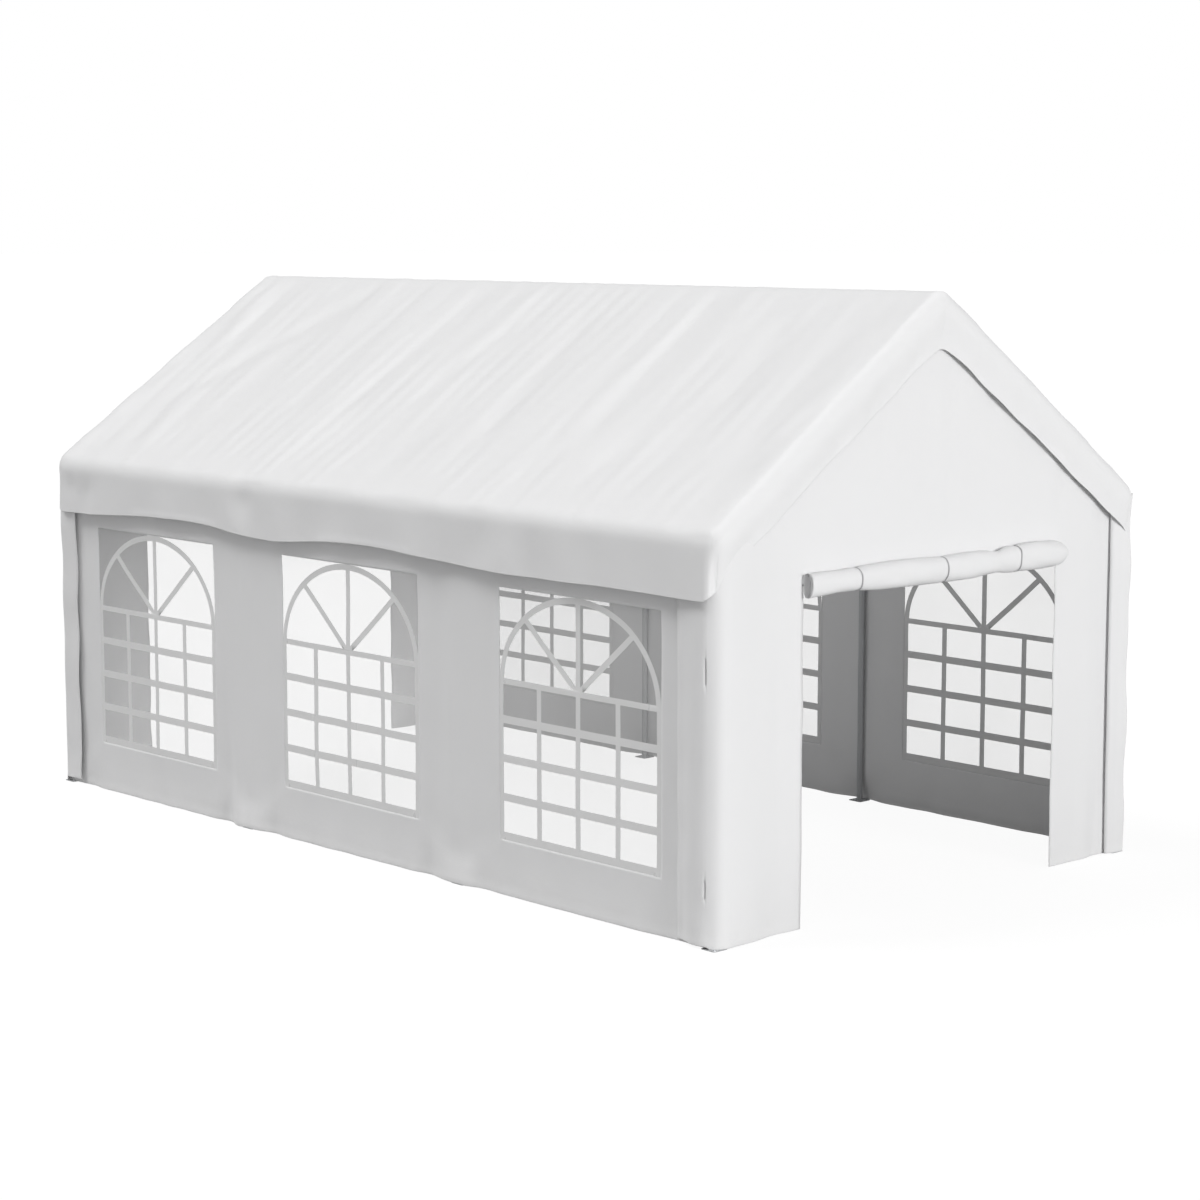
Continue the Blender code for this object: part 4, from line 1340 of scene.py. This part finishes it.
class TENT_OT_steel_frame(Operator):
    """Build the tubular steel frame with its joints, foot plates and bolts"""
    bl_idname = "tent.steel_frame"
    bl_label = "Steel Frame"

    def execute(self, context):
        settings = context.scene.tent_frame
        self.steel = finish_of("Painted Steel")
        self.sides = settings.sides
        self.lip = settings.sleeve_step
        self.build_legs(settings)
        self.build_joints()
        self.build_bars()
        self.build_bolts(settings)
        return {"FINISHED"}

    def build_legs(self, settings):
        """Posts, each with a weld bead on a plate with four holes."""
        plate_thickness = 0.004
        plate = plate_mesh("foot_plate", PLATE_SIZE, plate_thickness, settings.plate_hole, PLATE_SIZE * 0.36)
        top = LEG_TOP.z
        tube = bar_mesh("post", [(0, 0, plate_thickness), (0, 0, top)], TUBE_RADIUS, self.sides)
        bead = bmesh.new()
        ring = [(cos(2 * pi * i / 28) * (TUBE_RADIUS + 0.001), sin(2 * pi * i / 28) * (TUBE_RADIUS + 0.001),
                 plate_thickness + 0.001 + 0.0006 * sin(i * 2.1)) for i in range(29)]
        sweep(bead, ring, 0.0024, 8, cap=False)
        bead_mesh = finished(bead, "weld_bead", merge=0.0001)
        for side, sign in SIDES:
            for number, y in enumerate(FRAME_Y, 1):
                mesh = joined(f"post_{side}_{number}", (plate, tube, bead_mesh), [(0, 0, 0)] * 3)
                mesh.transform(Matrix.Translation((sign * HALF_SPAN, y, 0)))
                new_piece(mesh.name, mesh, self.steel, "frame_steel", f"leg_{side}_{number}")

    def sleeve(self, start, end):
        """A straight sleeve with a lip at its far end."""
        line, radii = lipped(start, end, TUBE_RADIUS + 0.0002, self.lip)
        return bar_mesh("sleeve", line, radii, self.sides)

    def build_joint(self, name, corner, ends, rail, y, node):
        """A bent sleeve in a frame's plane, joined with the sleeves for the rails along the tent."""
        corner, ends = Vector(corner), [Vector(end) for end in ends]
        line = bent_line(ends[0], corner, ends[1], 0.0567)
        line = [Vector((place.x, y, place.z)) for place in line]
        meshes = [bar_mesh("bend", line, TUBE_RADIUS, self.sides)]
        for end, inner in ((line[0], line[1]), (line[-1], line[-2])):
            start = inner + (end - inner) * 0.2
            meshes.append(self.sleeve(start, end))
        hub = Vector((rail[0], y, rail[1]))
        for turn in (-1, 1):
            if abs(y + turn * JOINT_REACH) < HALF_LENGTH:
                meshes.append(self.sleeve(hub, hub + Vector((0, turn * JOINT_REACH, 0))))
        mesh = united(name, meshes)
        new_piece(name, mesh, self.steel, "frame_steel", node)

    def build_joints(self):
        """Joints at the eaves and at the ridge."""
        run = Vector((cos(SLOPE), 0, sin(SLOPE))) * JOINT_REACH
        for number, y in enumerate(FRAME_Y, 1):
            for side, sign in SIDES:
                eave = Vector((sign * HALF_SPAN, 0, EAVE_HEIGHT))
                ends = (eave - Vector((0, 0, JOINT_REACH)), eave + Vector((-sign * run.x, 0, run.z)))
                self.build_joint(f"eave_elbow_{side}_{number}", eave, ends, (eave.x, eave.z), y,
                                 f"eave_joint_{side}_{number}")
            peak = Vector((0, 0, RIDGE_HEIGHT))
            ends = (peak - run, peak + Vector((run.x, 0, -run.z)))
            self.build_joint(f"ridge_elbow_{number}", peak, ends, (0, RIDGE_RAIL_HEIGHT), y,
                             f"ridge_joint_{number}")

    def build_bars(self):
        """Rafters and rails between the joints."""
        gap = 0.0003
        start, end = JOINT_REACH + gap, HALF_SPAN / cos(SLOPE) - JOINT_REACH - gap
        for side, sign in SIDES:
            uphill = Vector((-sign * cos(SLOPE), 0, sin(SLOPE)))
            for number, y in enumerate(FRAME_Y, 1):
                foot = Vector((sign * HALF_SPAN, y, EAVE_HEIGHT))
                mesh = bar_mesh(f"rafter_tube_{side}_{number}", [foot + uphill * start, foot + uphill * end],
                                TUBE_RADIUS, self.sides)
                new_piece(mesh.name, mesh, self.steel, "frame_steel", f"rafter_{side}_{number}")
        lines = (("eave_rail_left", -HALF_SPAN, EAVE_HEIGHT), ("eave_rail_right", HALF_SPAN, EAVE_HEIGHT),
                 ("ridge_rail", 0.0, RIDGE_RAIL_HEIGHT))
        for name, x, z in lines:
            for number, (low, high) in enumerate(zip(FRAME_Y, FRAME_Y[1:]), 1):
                ends = [(x, low + start, z), (x, high - start, z)]
                mesh = bar_mesh(f"{name}_tube_{number}", ends, TUBE_RADIUS, self.sides)
                new_piece(mesh.name, mesh, self.steel, "frame_steel", f"{name}_{number}")

    def build_bolts(self, settings):
        """Bolts through the sleeves, on the side away from the cloth, and in the foot plates."""
        zinc = finish_of("Zinc Bolt")
        inner = TUBE_RADIUS - 0.0004
        upright = bolt_mesh("upright_bolt", settings.bolt_radius, (0, 0, 1))
        for side, sign in SIDES:
            inward = bolt_mesh("inward_bolt", settings.bolt_radius, (-sign, 0, 0))
            meshes, places = [], []
            for y in FRAME_Y:
                for spot in (-0.36, 0.36):
                    meshes.append(upright)
                    places.append((sign * (HALF_SPAN + spot * PLATE_SIZE), y - 0.36 * PLATE_SIZE, 0.004))
                meshes.append(inward)
                places.append((sign * (HALF_SPAN - inner), y, EAVE_HEIGHT - JOINT_REACH + 0.03))
                for turn in (-1, 1):
                    if abs(y + turn * JOINT_REACH) < HALF_LENGTH:
                        meshes.append(inward)
                        places.append((sign * (HALF_SPAN - inner), y + turn * (JOINT_REACH - 0.03), EAVE_HEIGHT))
            mesh = joined(f"bolts_{side}", meshes, places)
            new_piece(mesh.name, mesh, zinc, "frame_steel")


class TENT_OT_roof_cover(Operator):
    """Build the roof cover as one sheet with its hems, gable flaps and creases"""
    bl_idname = "tent.roof_cover"
    bl_label = "Roof Cover"

    def execute(self, context):
        cloth = context.scene.tent_cloth
        mesh = build_roof_cover(cloth)
        cover = new_piece("roof_cover_sheet", mesh, finish_of("Roof Cloth"), "roof_cloth", "roof_cover")
        thicken(cover, cloth.thickness)
        return {"FINISHED"}


class TENT_OT_side_walls(Operator):
    """Build the two long walls with their window openings"""
    bl_idname = "tent.side_walls"
    bl_label = "Side Walls"

    def execute(self, context):
        cloth = context.scene.tent_cloth
        for side, sign, flat, area in (("left", -1, (5.99, 2.13), 7.33), ("right", 1, (6.29, 2.13), 7.97)):
            mesh = build_side_wall(side, sign, cloth)
            wall = new_piece(mesh.name, mesh, finish_of("Wall Cloth"), "wall_cloth", f"{side}_wall")
            thicken(wall, cloth.thickness)
        return {"FINISHED"}


class TENT_OT_gable_walls(Operator):
    """Build the two gable walls with their doorways"""
    bl_idname = "tent.gable_walls"
    bl_label = "Gable Walls"

    def execute(self, context):
        cloth = context.scene.tent_cloth
        boxes = {"front": (FRONT_WALL_LOW, FRONT_WALL_HIGH), "back": (BACK_WALL_LOW, BACK_WALL_HIGH)}
        for name, sign in GABLES:
            low, high = boxes[name]
            mesh = build_gable_wall(name, sign, low, high, cloth)
            wall = new_piece(mesh.name, mesh, finish_of("Wall Cloth"), "wall_cloth", f"{name}_wall")
            thicken(wall, cloth.thickness)
        return {"FINISHED"}


class TENT_OT_windows(Operator):
    """Build each window's clear film and its pattern of bars"""
    bl_idname = "tent.windows"
    bl_label = "Windows"

    def execute(self, context):
        cloth, settings = context.scene.tent_cloth, context.scene.tent_windows
        pattern = bar_pattern(settings)
        for side, sign in SIDES:
            for number, window in enumerate(WINDOWS, 1):
                seed = 60 + sign
                bars_mesh = pattern.copy()
                place_in_window(bars_mesh, sign, window, seed, cloth)
                if sign < 0:
                    bars_mesh.flip_normals()
                name = f"{side}_window_bars_{number}"
                bars = new_piece(name, bars_mesh, finish_of("Window Bars"), "wall_cloth")
                film_mesh = build_film(f"{side}_window_film_{number}", sign, window, seed, cloth)
                film = new_piece(film_mesh.name, film_mesh, finish_of("Clear Film"), "clear_film",
                                 f"{side}_window_{number}")
                thicken(film, settings.film)
        return {"FINISHED"}


class TENT_OT_door_rolls(Operator):
    """Build the rolled-up doors and the straps that hold them"""
    bl_idname = "tent.door_rolls"
    bl_label = "Rolled-up Doors"

    def execute(self, context):
        roll = context.scene.tent_rolls
        for name, sign in GABLES:
            for number, tie in enumerate(ROLL_TIES, 1):
                mesh = build_tie(f"{name}_roll_tie_{number}", tie, sign, roll)
                strap = new_piece(mesh.name, mesh, finish_of("Tie Webbing"), "wall_cloth")
                thicken(strap, 0.0016)
            mesh = build_roll(f"{name}_rolled_door", sign, roll)
            rolled = new_piece(mesh.name, mesh, finish_of("Wall Cloth"), "wall_cloth", f"{name}_door_roll")
            thicken(rolled, 0.0012)
        return {"FINISHED"}


class TENT_OT_stage(Operator):
    """Set up the camera, the lights and the pale floor"""
    bl_idname = "tent.stage"
    bl_label = "Stage"

    def execute(self, context):
        settings = context.scene.tent_stage
        self.add_camera(context, settings)
        self.add_floor(context, settings)
        self.add_sky(context, settings)
        self.add_sun(context, "front_light", (0.0, -0.985, 0.17), settings.key, settings.key_soft)
        self.add_sun(context, "top_light", (-0.38, 0.42, 0.82), settings.top, settings.top_soft)
        self.add_fill(context, settings)
        context.scene.view_settings.view_transform = "Standard"
        return {"FINISHED"}

    def add_camera(self, context, settings):
        """The camera at the photograph's viewing angle."""
        data = bpy.data.cameras.new("camera")
        data.lens = settings.lens
        data.sensor_width = 36.0
        camera = bpy.data.objects.new("camera", data)
        camera.location = settings.camera_place
        camera.rotation_euler = (pi / 2 - settings.camera_dip, 0.0, settings.camera_turn)
        context.scene.collection.objects.link(camera)
        context.scene.camera = camera

    def add_floor(self, context, settings):
        """A pale floor that reaches past the horizon."""
        form = bmesh.new()
        bmesh.ops.create_circle(form, cap_ends=True, segments=96, radius=220.0)
        mesh = bpy.data.meshes.new("floor")
        form.to_mesh(mesh)
        form.free()
        floor = bpy.data.objects.new("floor", mesh)
        context.scene.collection.objects.link(floor)
        made, tree, shader = new_material("Floor", Roughness=0.9, Specular_IOR_Level=0.0)
        shader.inputs["Emission Color"].default_value = (1, 1, 1, 1)
        seen = add_node(tree, "ShaderNodeLightPath").outputs["Is Camera Ray"]
        tree.links.new(math(tree, "MULTIPLY", seen, settings.floor_glow), shader.inputs["Emission Strength"])
        lost = math(tree, "MULTIPLY", seen, settings.floor_grey - settings.floor_shade)
        tree.links.new(math(tree, "SUBTRACT", settings.floor_grey, lost), shader.inputs["Base Color"])
        mesh.materials.append(made)

    def add_sky(self, context, settings):
        """Even light from all round, seen as white."""
        world = bpy.data.worlds.new("studio")
        world.use_nodes = True
        tree = world.node_tree
        background = tree.nodes["Background"]
        background.inputs["Color"].default_value = (1, 1, 1, 1)
        path = add_node(tree, "ShaderNodeLightPath")
        extra = math(tree, "MULTIPLY", path.outputs["Is Camera Ray"], 1.0 - settings.sky)
        tree.links.new(math(tree, "ADD", extra, settings.sky), background.inputs["Strength"])
        context.scene.world = world

    def add_fill(self, context, settings):
        """A large dim lamp under the roof, for the light that the cloth lets through."""
        data = bpy.data.lights.new("fill_light", "POINT")
        data.energy = settings.fill
        data.shadow_soft_size = 0.7
        lamp = bpy.data.objects.new("fill_light", data)
        lamp.location = (-0.5, 0.0, 1.7)
        lamp.visible_camera = False
        context.scene.collection.objects.link(lamp)

    def add_sun(self, context, name, towards, strength, soft):
        """A broad distant lamp that shines from a direction."""
        data = bpy.data.lights.new(name, "SUN")
        data.energy = strength
        data.angle = soft
        lamp = bpy.data.objects.new(name, data)
        lamp.location = Vector(towards) * 12
        lamp.rotation_euler = Vector(towards).to_track_quat("Z", "Y").to_euler()
        context.scene.collection.objects.link(lamp)


OPERATORS = (TENT_OT_stage, TENT_OT_steel_frame, TENT_OT_roof_cover, TENT_OT_side_walls,
             TENT_OT_gable_walls, TENT_OT_windows, TENT_OT_door_rolls)
SETTINGS = {"tent_cloth": TentClothSettings, "tent_windows": TentWindowSettings,
            "tent_rolls": TentRollSettings, "tent_frame": TentFrameSettings,
            "tent_finish": TentFinishSettings, "tent_stage": TentStageSettings}


class TENT_PT_parts(Panel):
    """The tent's pieces, in the order in which they are built"""
    bl_idname = "TENT_PT_parts"
    bl_label = "Marquee Tent"
    bl_space_type = "VIEW_3D"
    bl_region_type = "UI"
    bl_category = "Tent"

    def draw(self, context):
        for operator in OPERATORS:
            self.layout.operator(operator.bl_idname)
        for name in SETTINGS:
            group = getattr(context.scene, name)
            box = self.layout.box()
            box.label(text=name.replace("_", " ").title())
            for key in group.__annotations__:
                box.prop(group, key)


CLASSES = (*SETTINGS.values(), *OPERATORS, TENT_PT_parts)


def register():
    """Add the classes and the scene's settings."""
    for item in CLASSES:
        bpy.utils.register_class(item)
    for name, group in SETTINGS.items():
        setattr(bpy.types.Scene, name, PointerProperty(type=group))


def unregister():
    """Take the settings and the classes away again."""
    for name in SETTINGS:
        delattr(bpy.types.Scene, name)
    for item in reversed(CLASSES):
        bpy.utils.unregister_class(item)


def main():
    """Build the stage and the whole tent."""
    register()
    for operator in OPERATORS:
        family, name = operator.bl_idname.split(".")
        getattr(getattr(bpy.ops, family), name)()


if __name__ == "__main__":
    main()
